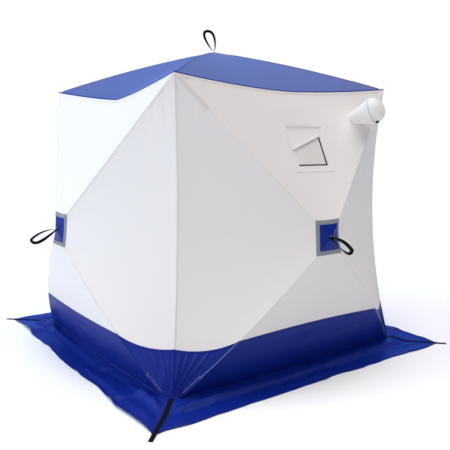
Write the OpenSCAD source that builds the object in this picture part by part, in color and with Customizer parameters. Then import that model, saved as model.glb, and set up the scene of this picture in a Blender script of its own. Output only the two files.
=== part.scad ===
// Pop-up cube shelter for fishing through ice.
// Five sprung hubs, one in each wall and one in the roof, push four poles apiece into the
// corners of a sewn cloth cube, so every side stands out as a low pyramid with saddle shaped panels.
// Origin on the ice at the middle of the floor, +Z up, front wall towards -Y, lengths in millimetres.

/* [Cube] */
// Side of the square between the bottom corners
base_side = 1800; // [1600:10:2000]
// Side of the square between the top corners
top_side = 1650; // [1500:10:1800]
// Height of the top corners
corner_height = 1757; // [1650:1:1850]
// Height of the roof hub's outer face
peak_height = 2023; // [1930:1:2120]
// Height of the wall hubs
hub_height = 867; // [820:1:910]
// Distance of a wall hub's outer face from the centre line
hub_reach = 1173; // [1100:1:1240]

/* [Cloth] */
// Thickness of the cloth
cloth = 3; // [2:0.5:4]
// How far the corner edges are drawn in at mid height, along the diagonal
edge_draw = 93; // [40:1:130]
// How far the front, right and back roof seams are drawn in at mid span
seam_draw = 60; // [20:1:90]
// How far those seams sag at mid span
seam_sag = 51; // [20:1:90]
// How far the left roof seam is drawn in at mid span
left_seam_draw = 72; // [20:1:90]
// How far the left roof seam sags at mid span
left_seam_sag = 93; // [20:1:110]
// How far the bottom edge of a wall bellies out at mid span
foot_belly = 30; // [0:1:60]
// Height of the lower band at the corner edges
band_corner_height = 287; // [200:1:340]
// Height of the lower band where it crosses the poles
band_height = 330; // [250:1:400]

/* [Frame] */
// Pole diameter
pole_d = 9.5; // [7:0.5:12]
// Outward bow of a wall's lower poles
lower_pole_bow = 44; // [10:1:70]
// Upward bow of the roof poles
roof_pole_bow = 20; // [5:1:50]
// Width of the flat on each hub's outer face
hub_flat = 44; // [36:1:56]
// Diameter of a hub
hub_d = 88; // [80:1:110]
// Thickness of a hub
hub_thick = 26; // [22:1:36]
// Diameter of the pins that hold the poles in the hubs
hinge_pin_d = 4; // [3:0.5:5]
// Diameter of the bolt that clamps a hub through the cloth
bolt_d = 12; // [8:1:16]
// Diameter of the washer under that bolt's head
washer_d = 30; // [24:1:40]
// Length of the sleeves that hold the pole tips in the corners
sleeve_length = 210; // [120:5:300]
// Wall of those sleeves
sleeve_wall = 1.5; // [1:0.5:2]

/* [Hub patches] */
// Width of the square patch over each hub
patch_side = 200; // [160:5:260]
// Width of the grey border around the patch
border_w = 25; // [15:1:40]

/* [Straps] */
// Width of the pull loops
loop_w = 20; // [12:1:30]
// Thickness of the webbing
webbing = 2; // [1:0.5:2.5]
// Reach of a wall's pull loop beyond its hub
loop_reach = 160; // [120:5:220]
// Drop of a wall's pull loop at its tip
loop_drop = 50; // [40:1:80]
// Height of the roof's pull loop
roof_loop_height = 150; // [120:5:200]
// Width of the straps on the skirt's corners
corner_strap_w = 26; // [15:1:40]
// Length of a corner strap's free tail beyond the skirt
strap_tail = 60; // [30:5:90]

/* [Skirt] */
// Width of the skirt that lies on the ice
skirt_w = 240; // [150:5:320]
// Height at which the skirt is sewn to the lower band
skirt_seam_height = 30; // [15:1:60]

/* [Window, vent and door] */
// Width of the window
window_w = 230; // [150:5:300]
// Height of the window along the slope of its panel
window_h = 214; // [150:5:280]
// Width of the tape around the window
tape_w = 9; // [5:1:15]
// Diameter of the vent hood at its rim
vent_mouth_d = 165; // [120:5:200]
// Diameter of the vent hood where its middle line meets the wall
vent_tip_d = 80; // [60:1:100]
// Length of the vent hood from the wall to its rim
vent_length = 130; // [100:5:180]
// Length of the domed cloth that closes the vent hood beyond its rim
vent_bulge = 75; // [40:5:100]
// Height of the door's head, as a share of the rise from the wall hubs to the top corners
door_head_ratio = 0.767; // [0.6:0.01:0.82]
// Width of the door
door_w = 500; // [400:10:560]
// Radius of the door's corners
door_corner_r = 60; // [30:5:100]
// Width of the zip around the door
zip_w = 14; // [8:1:20]

/* [Hidden] */

FRONT = "front";
RIGHT = "right";
BACK = "back";
LEFT = "left";
WALLS = [FRONT, RIGHT, BACK, LEFT];

WHITE = [0.93, 0.94, 0.95];
BLUE = [0.10, 0.18, 0.52];
ROOF_BLUE = [0.30, 0.36, 0.70];
GREY = [0.52, 0.53, 0.55];
BLACK = [0.04, 0.04, 0.045];
FIBREGLASS = [0.16, 0.16, 0.18];
FILM = [0.80, 0.79, 0.78];

// Clearance between pieces that seat on one another
fit = 0.3;
half_base = base_side / 2;
half_top = top_side / 2;
half_flat = hub_flat / 2;
pole_r = pole_d / 2;
ferrule_wall = 0.75;
ferrule_r = pole_r + ferrule_wall;
slot_clear = 1;
slot_w = 2 * (ferrule_r + slot_clear);
sleeve_r = pole_r + fit + sleeve_wall;
// How sharply a roof seam turns at mid span: 2 is a plain parabola and 1 a straight V
seam_power = 1.6;
left_seam_power = 1.25;

// Steps of the cloth's mesh along an edge, from an edge to the hub, and up the lower band
edge_steps = 8;
fan_steps = 3;
rise_steps = 6;
band_steps = 4;

// How steeply the cloth falls away from the hubs, at the middle of the steepest panel
wall_fall = (hub_reach - half_top + seam_draw) / (corner_height - seam_sag - hub_height - half_flat);
roof_fall = (peak_height - corner_height + left_seam_sag) / (half_top - left_seam_draw - half_flat);

// How far inside the cloth's outer face the poles run: clear of the steepest cloth
pole_inset = cloth + sleeve_r * 1.1 * sqrt(1 + roof_fall * roof_fall);

// Small helpers
function mix(a, b, f) = a + (b - a) * f;
function unit(v) = v / norm(v);
function arch(f, power = 2) = 1 - pow(abs(2 * f - 1), power);
function turned(p, wall) =
    wall == RIGHT ? [-p.y, p.x, p.z] : wall == BACK ? [-p.x, -p.y, p.z] : wall == LEFT ? [p.y, -p.x, p.z] : p;

// A point of the cloth's outer face moved inwards: towards the centre line everywhere, and down as well
// above the wall hubs. Walls and roof then meet on shared mitres along every edge.
function drawn_in(p, depth) = [
    p.x * (1 - depth / half_base),
    p.y * (1 - depth / half_base),
    p.z - depth * max(0, (p.z - hub_height) / (peak_height - hub_height)),
];

// Every wall is worked out as the front wall and turned into place.
// Its outline runs anticlockwise seen from outside: foot, right edge, roof seam, left edge.
corners = [
    [-half_base, -half_base, 0],
    [half_base, -half_base, 0],
    [half_top, -half_top, corner_height],
    [-half_top, -half_top, corner_height],
];
flat_corners = [
    for (c = [[-1, -1], [1, -1], [1, 1], [-1, 1]])
        [c.x * half_flat, -hub_reach, hub_height + c.y * half_flat],
];

function seam_offset(wall, f) =
    wall == LEFT
        ? arch(f, left_seam_power) * [0, left_seam_draw, -left_seam_sag]
        : arch(f, seam_power) * [0, seam_draw, -seam_sag];

// Point on outline edge i of a wall
function edge(i, f, wall) =
    mix(corners[i], corners[(i + 1) % 4], f)
    + (i == 0 ? arch(f) * [0, -foot_belly, 0]
       : i == 1 ? arch(f) * edge_draw * unit([-1, 1, 0])
       : i == 2 ? seam_offset(wall, f)
       : arch(f) * edge_draw * unit([1, 1, 0]));

// Point on the pole line from corner i to the hub: the lower poles are bowed, the upper ones straight
function is_lower(i) = i < 2;
function ridge(i, t) =
    mix(corners[i], flat_corners[i], t) - (is_lower(i) ? arch(t) * [0, lower_pole_bow, 0] : [0, 0, 0]);

// Saddle panel between outline edge i, the hub and two pole lines: the edge and the hub blended
// along t, plus the pole lines blended along s, less the corners that both of them count
function panel(i, s, t, wall) =
    let (j = (i + 1) % 4)
    mix(edge(i, s, wall), mix(flat_corners[i], flat_corners[j], s), t)
    + mix(ridge(i, t), ridge(j, t), s)
    - mix(mix(corners[i], flat_corners[i], t), mix(corners[j], flat_corners[j], t), s);

// The roof's panel over one wall, in the same way
function roof_ridge(x_side, t) =
    mix([x_side * half_top, -half_top, corner_height], [x_side * half_flat, -half_flat, peak_height], t)
    + [0, 0, roof_pole_bow * arch(t)];
function roof_panel(s, t, wall) =
    let (
        foot_left = roof_ridge(-1, 0),
        foot_right = roof_ridge(1, 0),
        top_left = roof_ridge(-1, 1),
        top_right = roof_ridge(1, 1)
    )
    mix(edge(2, 1 - s, wall), mix(top_left, top_right, s), t)
    + mix(roof_ridge(-1, t), roof_ridge(1, t), s)
    - mix(mix(foot_left, top_left, t), mix(foot_right, top_right, t), s);

// Shares of the way from an outline edge to the hub at which the hub's border and patch begin
panel_rise = hub_height - half_flat;
border_t = 1 - (patch_side / 2 - half_flat) / panel_rise;
patch_t = 1 - (patch_side / 2 - border_w - half_flat) / panel_rise;
// Shares at which the lower band ends, on the pole lines and on the corner edges
band_t = band_height / panel_rise;
band_s = band_corner_height / corner_height;

// Columns of a wall's mesh: panel, place on its outer outline, and place along the hub's side.
// The outline leaves out the lower band, so it steps up from the pole line to the corner edge.
side_steps = fan_steps + edge_steps;
function foot_columns() = [for (k = [0:edge_steps - 1]) [0, k / edge_steps, band_t, k / edge_steps]];
function right_columns() = concat(
    [for (k = [0:fan_steps - 1])
        [1, band_s * k / fan_steps, band_t * (1 - k / fan_steps), k / side_steps]],
    [for (k = [0:edge_steps - 1])
        [1, mix(band_s, 1, k / edge_steps), 0, (fan_steps + k) / side_steps]]
);
function top_columns() = [for (k = [0:edge_steps - 1]) [2, k / edge_steps, 0, k / edge_steps]];
function left_columns() = concat(
    [for (k = [0:edge_steps - 1]) [3, (1 - band_s) * k / edge_steps, 0, k / side_steps]],
    [for (k = [0:fan_steps - 1])
        [3, 1 - band_s * (1 - k / fan_steps), band_t * k / fan_steps, (edge_steps + k) / side_steps]]
);
wall_columns = concat(foot_columns(), right_columns(), top_columns(), left_columns());

// Row of points a share f of the way from the outline to the hub's border
function wall_row(columns, f, wall) =
    [for (c = columns) panel(c[0], mix(c[1], c[3], f), mix(c[2], border_t, f), wall)];
function wall_grid(columns, wall) = [for (r = [0:rise_steps]) wall_row(columns, r / rise_steps, wall)];
// Ring of points around the hub
function hub_row(t, wall) = [for (c = wall_columns) panel(c[0], c[3], t, wall)];
// Round hole for the hub's bolt, in the plane of the hub's flat
function bolt_row(row, centre) =
    [for (p = row) centre + (bolt_d / 2 + 1) * unit(p - centre)];

// Sheet between two grids of points. Rows run from the outline inwards, columns anticlockwise
// seen from outside. Triangles that have shrunk to a line are left out.
module sheet(outer, inner, closed = false) {
    rows = len(outer);
    columns = len(outer[0]);
    count = rows * columns;
    last = closed ? columns - 1 : columns - 2;
    points = [for (grid = [outer, inner]) for (row = grid) for (p = row) p];
    function at(i, j, layer) = layer * count + i * columns + j % columns;
    function quad(a, b, c, d) = [[a, c, b], [a, d, c]];
    skins = [
        for (i = [0:rows - 2]) for (j = [0:last])
            each concat(
                quad(at(i, j, 0), at(i, j + 1, 0), at(i + 1, j + 1, 0), at(i + 1, j, 0)),
                [for (f = quad(at(i, j, 1), at(i, j + 1, 1), at(i + 1, j + 1, 1), at(i + 1, j, 1)))
                    [f[2], f[1], f[0]]]
            ),
    ];
    rims = [
        for (j = [0:last])
            each concat(
                quad(at(0, j, 0), at(0, j, 1), at(0, j + 1, 1), at(0, j + 1, 0)),
                quad(at(rows - 1, j, 0), at(rows - 1, j + 1, 0), at(rows - 1, j + 1, 1), at(rows - 1, j, 1))
            ),
    ];
    ends = closed ? [] : [
        for (i = [0:rows - 2])
            each concat(
                quad(at(i, 0, 0), at(i + 1, 0, 0), at(i + 1, 0, 1), at(i, 0, 1)),
                quad(at(i, columns - 1, 0), at(i, columns - 1, 1), at(i + 1, columns - 1, 1),
                     at(i + 1, columns - 1, 0))
            ),
    ];
    function is_thin(f) =
        norm(cross(points[f[1]] - points[f[0]], points[f[2]] - points[f[0]])) < 0.001;
    polyhedron(points, [for (f = concat(skins, rims, ends)) if (!is_thin(f)) f]);
}

// Sheet of cloth whose outer face lies on a grid
module cloth_sheet(grid, closed = false, from = 0, to = cloth) {
    sheet(
        [for (row = grid) [for (p = row) drawn_in(p, from)]],
        [for (row = grid) [for (p = row) drawn_in(p, to)]],
        closed
    );
}

module turn_to(wall) {
    rotate([0, 0, wall == RIGHT ? 90 : wall == BACK ? 180 : wall == LEFT ? 270 : 0]) children();
}

// Puts a piece on a wall's panel: X level, Y up the slope, Z out of the cloth
module on_panel(i, s, t, wall) {
    step = 0.01;
    origin = panel(i, s, t, wall);
    out = unit(cross(panel(i, s + step, t, wall) - origin, panel(i, s, t + step, wall) - origin));
    level = unit(cross([0, 0, 1], out));
    up = cross(out, level);
    multmatrix([
        [level.x, up.x, out.x, origin.x],
        [level.y, up.y, out.y, origin.y],
        [level.z, up.z, out.z, origin.z],
        [0, 0, 0, 1],
    ])
        children();
}

// Flat ribbon along a path in its own plane, its width across that plane
module ribbon(path, width, thickness) {
    last = len(path) - 1;
    side = [
        for (k = [0:last])
            let (d = unit(path[min(k + 1, last)] - path[max(k - 1, 0)]))
            [-d.y, d.x] * thickness / 2,
    ];
    translate([0, 0, -width / 2])
        linear_extrude(width)
            polygon(concat(
                [for (k = [0:last]) path[k] + side[k]],
                [for (k = [last:-1:0]) path[k] - side[k]]
            ));
}

// Point on a Bezier curve
function bezier(c, t) =
    pow(1 - t, 3) * c[0] + 3 * t * pow(1 - t, 2) * c[1] + 3 * t * t * (1 - t) * c[2] + pow(t, 3) * c[3];

// Stretch of a rod bent to an arc between two points, bowed out by its middle.
// The stretch begins and ends at the given distances along the rod.
module bent_rod(from, to, bow, out, r, begin, end) {
    span = to - from;
    chord = norm(span);
    along = span / chord;
    side = unit(out - (out * along) * along);
    bend_r = (chord * chord / 4 + bow * bow) / (2 * bow);
    half_angle = asin(chord / 2 / bend_r);
    centre = (from + to) / 2 + side * (bow - bend_r);
    normal = cross(side, along);
    per_mm = 180 / PI / bend_r;
    turn = (is_undef(end) ? 2 * half_angle : end * per_mm) - begin * per_mm;
    multmatrix([
        [side.x, along.x, normal.x, centre.x],
        [side.y, along.y, normal.y, centre.y],
        [side.z, along.z, normal.z, centre.z],
        [0, 0, 0, 1],
    ])
        rotate([0, 0, begin * per_mm - half_angle])
            rotate_extrude(angle = turn, $fn = ceil(360 / turn) * 10)
                translate([bend_r, 0]) circle(r, $fn = 24);
}

module straight_rod(from, to, r, begin = 0, end = undef) {
    along = unit(to - from);
    side = unit(cross(along, [0, 0, 1]));
    normal = cross(along, side);
    multmatrix([
        [side.x, normal.x, along.x, from.x],
        [side.y, normal.y, along.y, from.y],
        [side.z, normal.z, along.z, from.z],
        [0, 0, 0, 1],
    ])
        translate([0, 0, begin])
            cylinder(r = r, h = (is_undef(end) ? norm(to - from) : end) - begin, $fn = 24);
}

// Window, vent and door, on their panels
window_s_ratio = 0.469;
window_t_ratio = 0.42;
vent_s_ratio = 0.136;
vent_t_ratio = 0.21;
// The vent hood leans from the wall's normal towards the corner edge, and a little downwards
vent_lean = 30;
vent_turn = -10;
vent_hole_ratio = 0.6;
door_clear = 85;
door_sill_gap = 40;
door_sill = band_height + door_sill_gap;
door_head = hub_height + door_head_ratio * (corner_height - hub_height);
door_middle = hub_height;
// How far the flap reaches beyond the window
flap_head = 40;
flap_left = 20;
flap_right = 30;
vent_sink_ratio = 0.4;
cut_depth = 160;

// Rounded triangle with its upright side towards the corner edge and its point towards the hub
module door_outline() {
    x_edge = -half_top + door_clear + door_corner_r;
    x_point = x_edge + door_w - 2 * door_corner_r;
    hull()
        for (c = [
            [x_edge, door_sill + door_corner_r],
            [x_edge, door_head - door_corner_r],
            [x_point, door_middle],
        ])
            translate(c) circle(door_corner_r, $fn = 32);
}

// Block through the left wall with the door's outline
module door_block(inset) {
    rotate([90, 0, 0])
        linear_extrude(hub_reach + cut_depth)
            offset(delta = -inset) door_outline();
}

// Block through the window's panel, from its left foot corner to its right top corner
module window_block(right_foot, left_top) {
    on_panel(2, window_s_ratio, window_t_ratio, FRONT)
        translate([left_top - window_w / 2, right_foot - window_h / 2, -cut_depth / 2])
            cube([window_w - left_top - right_foot, window_h - left_top - right_foot, cut_depth]);
}

module vent_hole() {
    on_panel(2, vent_s_ratio, vent_t_ratio, FRONT)
        translate([0, 0, -cut_depth / 2])
            cylinder(d = vent_tip_d * vent_hole_ratio, h = cut_depth, $fn = 48);
}

// Cloth

module wall_cloth(wall) {
    cloth_sheet(wall_grid(wall_columns, wall), closed = true);
}

// One panel of a wall, for the pieces that are cut to its shape
module top_panel(wall, from = 0, to = cloth) {
    cloth_sheet(wall_grid(concat(top_columns(), [left_columns()[0]]), wall), from = from, to = to);
}

module left_panel(wall) {
    cloth_sheet(wall_grid(concat(left_columns(), [foot_columns()[0]]), wall));
}

module wall(wall) {
    color(WHITE)
        turn_to(wall)
            difference() {
                wall_cloth(wall);
                if (wall == FRONT) {
                    window_block(0, 0);
                    vent_hole();
                }
                if (wall == LEFT) door_block(0);
            }
}

// Lower band: the foot panel up to the pole lines' height, and a fan at each corner edge
module band(wall) {
    fan_right = [for (k = [1:fan_steps]) [1, band_s * k / fan_steps, band_t * (1 - k / fan_steps)]];
    fan_left = [for (k = [0:fan_steps - 1]) [3, 1 - band_s * (1 - k / fan_steps), band_t * k / fan_steps]];
    grid = [
        for (r = [0:band_steps])
            let (f = r / band_steps)
            concat(
                [for (c = fan_left) panel(3, mix(1, c[1], f), c[2] * f, wall)],
                [for (k = [0:edge_steps]) panel(0, k / edge_steps, band_t * f, wall)],
                [for (c = fan_right) panel(1, c[1] * f, c[2] * f, wall)]
            ),
    ];
    color(BLUE)
        turn_to(wall)
            cloth_sheet(grid);
}

function roof_row(t) = [
    for (wall = WALLS) for (k = [0:edge_steps - 1]) turned(roof_panel(k / edge_steps, t, wall), wall),
];
roof_border_t = 1 - (patch_side / 2 - half_flat) / (half_top - half_flat);
roof_patch_t = 1 - (patch_side / 2 - border_w - half_flat) / (half_top - half_flat);

module roof_cloth() {
    color(ROOF_BLUE)
        cloth_sheet([for (r = [0:rise_steps]) roof_row(roof_border_t * r / rise_steps)], closed = true);
}

module hub_patch(wall) {
    centre = [0, -hub_reach, hub_height];
    color(BLUE)
        turn_to(wall)
            cloth_sheet(
                [hub_row(patch_t, wall), hub_row(1, wall), bolt_row(hub_row(1, wall), centre)],
                closed = true
            );
}

module roof_hub_patch() {
    color(ROOF_BLUE)
        cloth_sheet(
            [roof_row(roof_patch_t), roof_row(1), bolt_row(roof_row(1), [0, 0, peak_height])],
            closed = true
        );
}

module hub_borders() {
    color(GREY) {
        for (wall = WALLS)
            turn_to(wall)
                cloth_sheet([hub_row(border_t, wall), hub_row(patch_t, wall)], closed = true);
        cloth_sheet([roof_row(roof_border_t), roof_row(roof_patch_t)], closed = true);
    }
}

// Skirt: sewn to the lower band just above the ice, it slopes down and lies flat to its outer edge
skirt_slope_ratio = 0.45;
skirt_steps = 6;
skirt_seam_t = (skirt_seam_height + cloth) / panel_rise;
skirt_seam_s = (skirt_seam_height + cloth) / corner_height;
function skirt_height(v) =
    let (f = min(v / skirt_slope_ratio, 1)) skirt_seam_height * (1 - f * f * (3 - 2 * f));

module skirt(wall) {
    seam = [for (p = concat(
        [panel(3, 1 - skirt_seam_s, 0, wall)],
        [for (k = [0:edge_steps]) panel(0, k / edge_steps, skirt_seam_t, wall)],
        [panel(1, skirt_seam_s, 0, wall)]
    )) drawn_in(p, -fit)];
    reach = half_base + skirt_w;
    last = len(seam) - 1;
    lower = [
        for (r = [0:skirt_steps])
            let (v = 1 - r / skirt_steps)
            [for (k = [0:last])
                let (p = mix(seam[k], [reach * (2 * k / last - 1), -reach, 0], v))
                [p.x, p.y, skirt_height(v)]],
    ];
    upper = [for (row = lower) [for (p = row) p + [0, 0, cloth]]];
    color(BLUE)
        turn_to(wall)
            sheet(upper, lower);
}

module corner_straps() {
    lift = cloth + fit + webbing / 2;
    seam_corner = norm(drawn_in(panel(3, 1 - skirt_seam_s, 0, FRONT), -fit) * [[1, 0], [0, 1], [0, 0]]);
    tip = (half_base + skirt_w) * sqrt(2);
    path = concat(
        [for (r = [0:skirt_steps])
            let (v = r / skirt_steps)
            [mix(seam_corner + webbing, tip, v), skirt_height(v) + lift]],
        [[tip + cloth + webbing, lift - webbing / 2], [tip + strap_tail, webbing / 2]]
    );
    color(BLACK)
        for (wall = WALLS)
            turn_to(wall)
                rotate([90, 0, -135]) ribbon(path, corner_strap_w, webbing);
}

// Frame

hub_cloth_depth = cloth * hub_reach / half_base;
hub_pole_depth = pole_inset * hub_reach / half_base;
// The hub's shoulder inside the cloth's flat, its core between the slots, and where the pins sit
hub_shoulder = 3;
hub_core_r = hub_flat / 4;
hinge_r = hub_flat * 0.61;

// Frustum with a square top, falling away on four sides
module square_frustum(top_half, fall, h) {
    foot_half = top_half + h / fall;
    function square_at(half, z) = [for (c = [[-1, -1], [1, -1], [1, 1], [-1, 1]]) [c.x * half, c.y * half, z]];
    polyhedron(
        concat(square_at(foot_half, -h), square_at(top_half, 0)),
        [[0, 1, 2, 3], [7, 6, 5, 4], [0, 4, 5, 1], [1, 5, 6, 2], [2, 6, 7, 3], [3, 7, 4, 0]]
    );
}

// Hub with four slots, a hinge pin across each, and a bolt that clamps the cloth.
// The cloth's outer face is the plane Z = 0. The hub lies below it and falls away with it on four sides.
module hub(cloth_depth, pole_depth, fall) {
    face = -cloth_depth - fit;
    back = face - hub_thick;
    difference() {
        intersection() {
            translate([0, 0, back]) cylinder(d = hub_d, h = hub_thick, $fn = 64);
            translate([0, 0, face]) square_frustum(half_flat - hub_shoulder, fall, hub_thick);
        }
        for (k = [0:3])
            rotate([0, 0, 45 + 90 * k])
                translate([hub_core_r, -slot_w / 2, back - 1])
                    cube([hub_d, slot_w, hub_thick + 2]);
    }
    for (k = [0:3])
        rotate([0, 0, 45 + 90 * k])
            translate([hinge_r, 0, -pole_depth])
                rotate([90, 0, 0]) cylinder(d = hinge_pin_d, h = slot_w + 2, center = true, $fn = 24);
    translate([0, 0, face - 1]) cylinder(d = bolt_d, h = cloth_depth + 2 * fit + webbing + 1, $fn = 32);
    translate([0, 0, fit]) cylinder(d = washer_d, h = webbing, $fn = 48);
}

module wall_hub(wall) {
    color(BLACK)
        turn_to(wall)
            translate([0, -hub_reach, hub_height])
                rotate([90, 0, 0]) hub(hub_cloth_depth, hub_pole_depth, wall_fall);
}

module roof_hub() {
    color(BLACK)
        translate([0, 0, peak_height]) hub(cloth, pole_inset, roof_fall);
}

// Shares of a pole line at which the pole's tip, its ferrule and the ferrule's grip on it lie.
// The ferrule is straight and has a hole for the hub's hinge pin.
tip_ratio = 0.05;
ferrule_ratio = 0.96;
grip_ratio = 0.97;
ferrule_end_ratio = 1.0115;
bow_ratio = pow(grip_ratio - tip_ratio, 2);

// Stretch of a pole's line between two distances from the pole's tip
module wall_pole(i, r, begin = 0, end = undef) {
    tip = drawn_in(ridge(i, tip_ratio), pole_inset);
    root = drawn_in(ridge(i, grip_ratio), pole_inset);
    if (is_lower(i))
        bent_rod(tip, root, lower_pole_bow * bow_ratio, [0, -1, 0], r, begin, end);
    else
        straight_rod(tip, root, r, begin, end);
}

module roof_pole(r, begin = 0, end = undef) {
    tip = drawn_in(roof_ridge(1, tip_ratio), pole_inset);
    root = drawn_in(roof_ridge(1, grip_ratio), pole_inset);
    bent_rod(tip, root, roof_pole_bow * bow_ratio, [0, 0, 1], r, begin, end);
}

module pole_eye(k, pole_depth) {
    rotate([0, 0, 45 + 90 * k])
        translate([hinge_r, 0, -pole_depth])
            rotate([90, 0, 0]) cylinder(d = hinge_pin_d + 2 * fit, h = slot_w, center = true, $fn = 24);
}

module wall_poles(wall) {
    color(FIBREGLASS)
        turn_to(wall)
            for (i = [0:3]) {
                wall_pole(i, pole_r);
                difference() {
                    straight_rod(drawn_in(ridge(i, ferrule_ratio), pole_inset),
                                 drawn_in(ridge(i, ferrule_end_ratio), pole_inset), ferrule_r);
                    translate([0, -hub_reach, hub_height])
                        rotate([90, 0, 0]) pole_eye(i + 2, hub_pole_depth);
                }
            }
}

module roof_poles() {
    color(FIBREGLASS)
        for (wall = WALLS)
            turn_to(wall) {
                roof_pole(pole_r);
                difference() {
                    straight_rod(drawn_in(roof_ridge(1, ferrule_ratio), pole_inset),
                                 drawn_in(roof_ridge(1, ferrule_end_ratio), pole_inset), ferrule_r);
                    translate([0, 0, peak_height]) pole_eye(3, pole_inset);
                }
            }
}

// Sleeves around the pole tips, closed at the corner and open towards the hub
sleeve_cap = 3;

module wall_pole_sleeves(pair, shade) {
    color(shade)
        for (wall = WALLS)
            turn_to(wall)
                for (i = pair)
                    difference() {
                        wall_pole(i, sleeve_r, -sleeve_cap, sleeve_length);
                        wall_pole(i, pole_r + fit, -fit, sleeve_length + sleeve_cap);
                    }
}

module roof_pole_sleeves() {
    color(ROOF_BLUE)
        for (wall = WALLS)
            turn_to(wall)
                difference() {
                    roof_pole(sleeve_r, -sleeve_cap, sleeve_length);
                    roof_pole(pole_r + fit, -fit, sleeve_length + sleeve_cap);
                }
}

// Pull loops: one strap out from the hub's washer and back to it
loop_steps = 8;
loop_root = webbing + 3 * fit;
loop_gap = webbing * 0.75;

module wall_pull_loop(wall) {
    tip = [loop_reach, -loop_drop];
    over = [[loop_root, loop_gap], [loop_reach * 0.45, loop_gap * 3], [loop_reach * 0.8, -loop_drop * 0.4], tip];
    under = [tip, [loop_reach * 0.9, -loop_drop * 1.9], [loop_reach * 0.55, -loop_drop * 1.3],
             [loop_root, -loop_gap]];
    path = concat(
        [for (k = [0:loop_steps]) bezier(over, k / loop_steps)],
        [for (k = [1:loop_steps]) bezier(under, k / loop_steps)]
    );
    color(BLACK)
        turn_to(wall)
            translate([0, -hub_reach, hub_height])
                rotate([90, 0, -90]) ribbon(path, loop_w, webbing);
}

// The roof's loop stands up and curls over into an eye
module roof_pull_loop() {
    height = roof_loop_height;
    tip = [-height * 0.3, height - webbing];
    rise = [[loop_gap, loop_root], [height * 0.1, height * 0.4], [height * 0.05, height], tip];
    fall = [tip, [-height * 0.62, height], [-height * 0.45, height * 0.55], [-loop_gap, loop_root]];
    path = concat(
        [for (k = [0:loop_steps]) bezier(rise, k / loop_steps)],
        [for (k = [1:loop_steps]) bezier(fall, k / loop_steps)]
    );
    color(BLACK)
        translate([0, 0, peak_height])
            rotate([90, 0, -36]) ribbon(path, loop_w, webbing);
}

// Window, vent and door

module window_pane() {
    color(FILM)
        intersection() {
            top_panel(FRONT, from = 0.5, to = cloth - 0.5);
            window_block(tape_w + fit, fit);
        }
}

// Black tape down the right side and along the foot of the window
module window_tape() {
    color(BLACK)
        intersection() {
            top_panel(FRONT);
            difference() {
                window_block(fit, fit);
                window_block(tape_w, -tape_w);
            }
        }
}

// Flap over the window's upper corner, on the outside of the wall
module window_flap() {
    flap_top = window_h / 2 + flap_head;
    color(WHITE)
        intersection() {
            top_panel(FRONT, from = -cloth - fit, to = -fit);
            on_panel(2, window_s_ratio, window_t_ratio, FRONT)
                translate([0, 0, -cut_depth / 2])
                    linear_extrude(cut_depth)
                        polygon([
                            [-window_w / 2 - flap_left, -window_h * 0.02],
                            [window_w / 2, window_h * 0.42],
                            [window_w / 2 + flap_right, flap_top],
                            [-window_w / 2 - flap_left, flap_top],
                        ]);
        }
}

// Funnel of cloth sewn to the wall round its air hole, closed beyond its rim by a dome
function vent_profile(inset) = let (
        sink = vent_tip_d * vent_sink_ratio,
        tip_r = vent_tip_d / 2,
        mouth_r = vent_mouth_d / 2,
        foot_r = tip_r - sink * (mouth_r - tip_r) / vent_length
    ) concat(
        [[foot_r - inset, -sink]],
        [for (k = [0:12]) [(mouth_r - inset) * cos(k * 7.5), vent_length + (vent_bulge - inset) * sin(k * 7.5)]]
    );

module vent_hood() {
    outer = vent_profile(0);
    inner = vent_profile(cloth);
    color(WHITE)
        difference() {
            on_panel(2, vent_s_ratio, vent_t_ratio, FRONT)
                rotate([0, 0, vent_turn])
                    rotate([0, vent_lean, 0])
                        rotate_extrude($fn = 64)
                            polygon(concat(outer, [for (k = [len(inner) - 1:-1:0]) inner[k]]));
            top_panel(FRONT, from = -fit, to = vent_mouth_d);
        }
}

module door_panel() {
    color(WHITE)
        turn_to(LEFT)
            intersection() {
                left_panel(LEFT);
                door_block(zip_w + fit);
            }
}

module door_zip() {
    color(BLACK)
        turn_to(LEFT)
            intersection() {
                left_panel(LEFT);
                difference() {
                    door_block(fit);
                    door_block(zip_w);
                }
            }
}

roof_cloth();
wall(FRONT);  // front_wall
wall(RIGHT);  // right_wall
wall(BACK);  // back_wall
wall(LEFT);  // left_wall
band(FRONT);  // front_band
band(RIGHT);  // right_band
band(BACK);  // back_band
band(LEFT);  // left_band
skirt(FRONT);  // front_skirt
skirt(RIGHT);  // right_skirt
skirt(BACK);  // back_skirt
skirt(LEFT);  // left_skirt
hub_patch(FRONT);  // front_hub_patch
hub_patch(RIGHT);  // right_hub_patch
hub_patch(BACK);  // back_hub_patch
hub_patch(LEFT);  // left_hub_patch
roof_hub_patch();
hub_borders();
wall_pull_loop(FRONT);  // front_pull_loop
wall_pull_loop(RIGHT);  // right_pull_loop
wall_pull_loop(BACK);  // back_pull_loop
wall_pull_loop(LEFT);  // left_pull_loop
roof_pull_loop();
wall_hub(FRONT);  // front_hub
wall_hub(RIGHT);  // right_hub
wall_hub(BACK);  // back_hub
wall_hub(LEFT);  // left_hub
roof_hub();
wall_poles(FRONT);  // front_poles
wall_poles(RIGHT);  // right_poles
wall_poles(BACK);  // back_poles
wall_poles(LEFT);  // left_poles
roof_poles();
wall_pole_sleeves([2, 3], WHITE);  // upper_pole_sleeves
wall_pole_sleeves([0, 1], BLUE);  // lower_pole_sleeves
roof_pole_sleeves();
corner_straps();
window_pane();
window_flap();
window_tape();
vent_hood();
door_panel();
door_zip();
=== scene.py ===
"""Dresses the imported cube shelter: sewn cloth, webbing, window, vent, door, seams and a plain studio."""

import math

import bpy
import numpy as np
from bpy.props import FloatProperty, FloatVectorProperty, PointerProperty
from mathutils import Matrix, Vector


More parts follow.
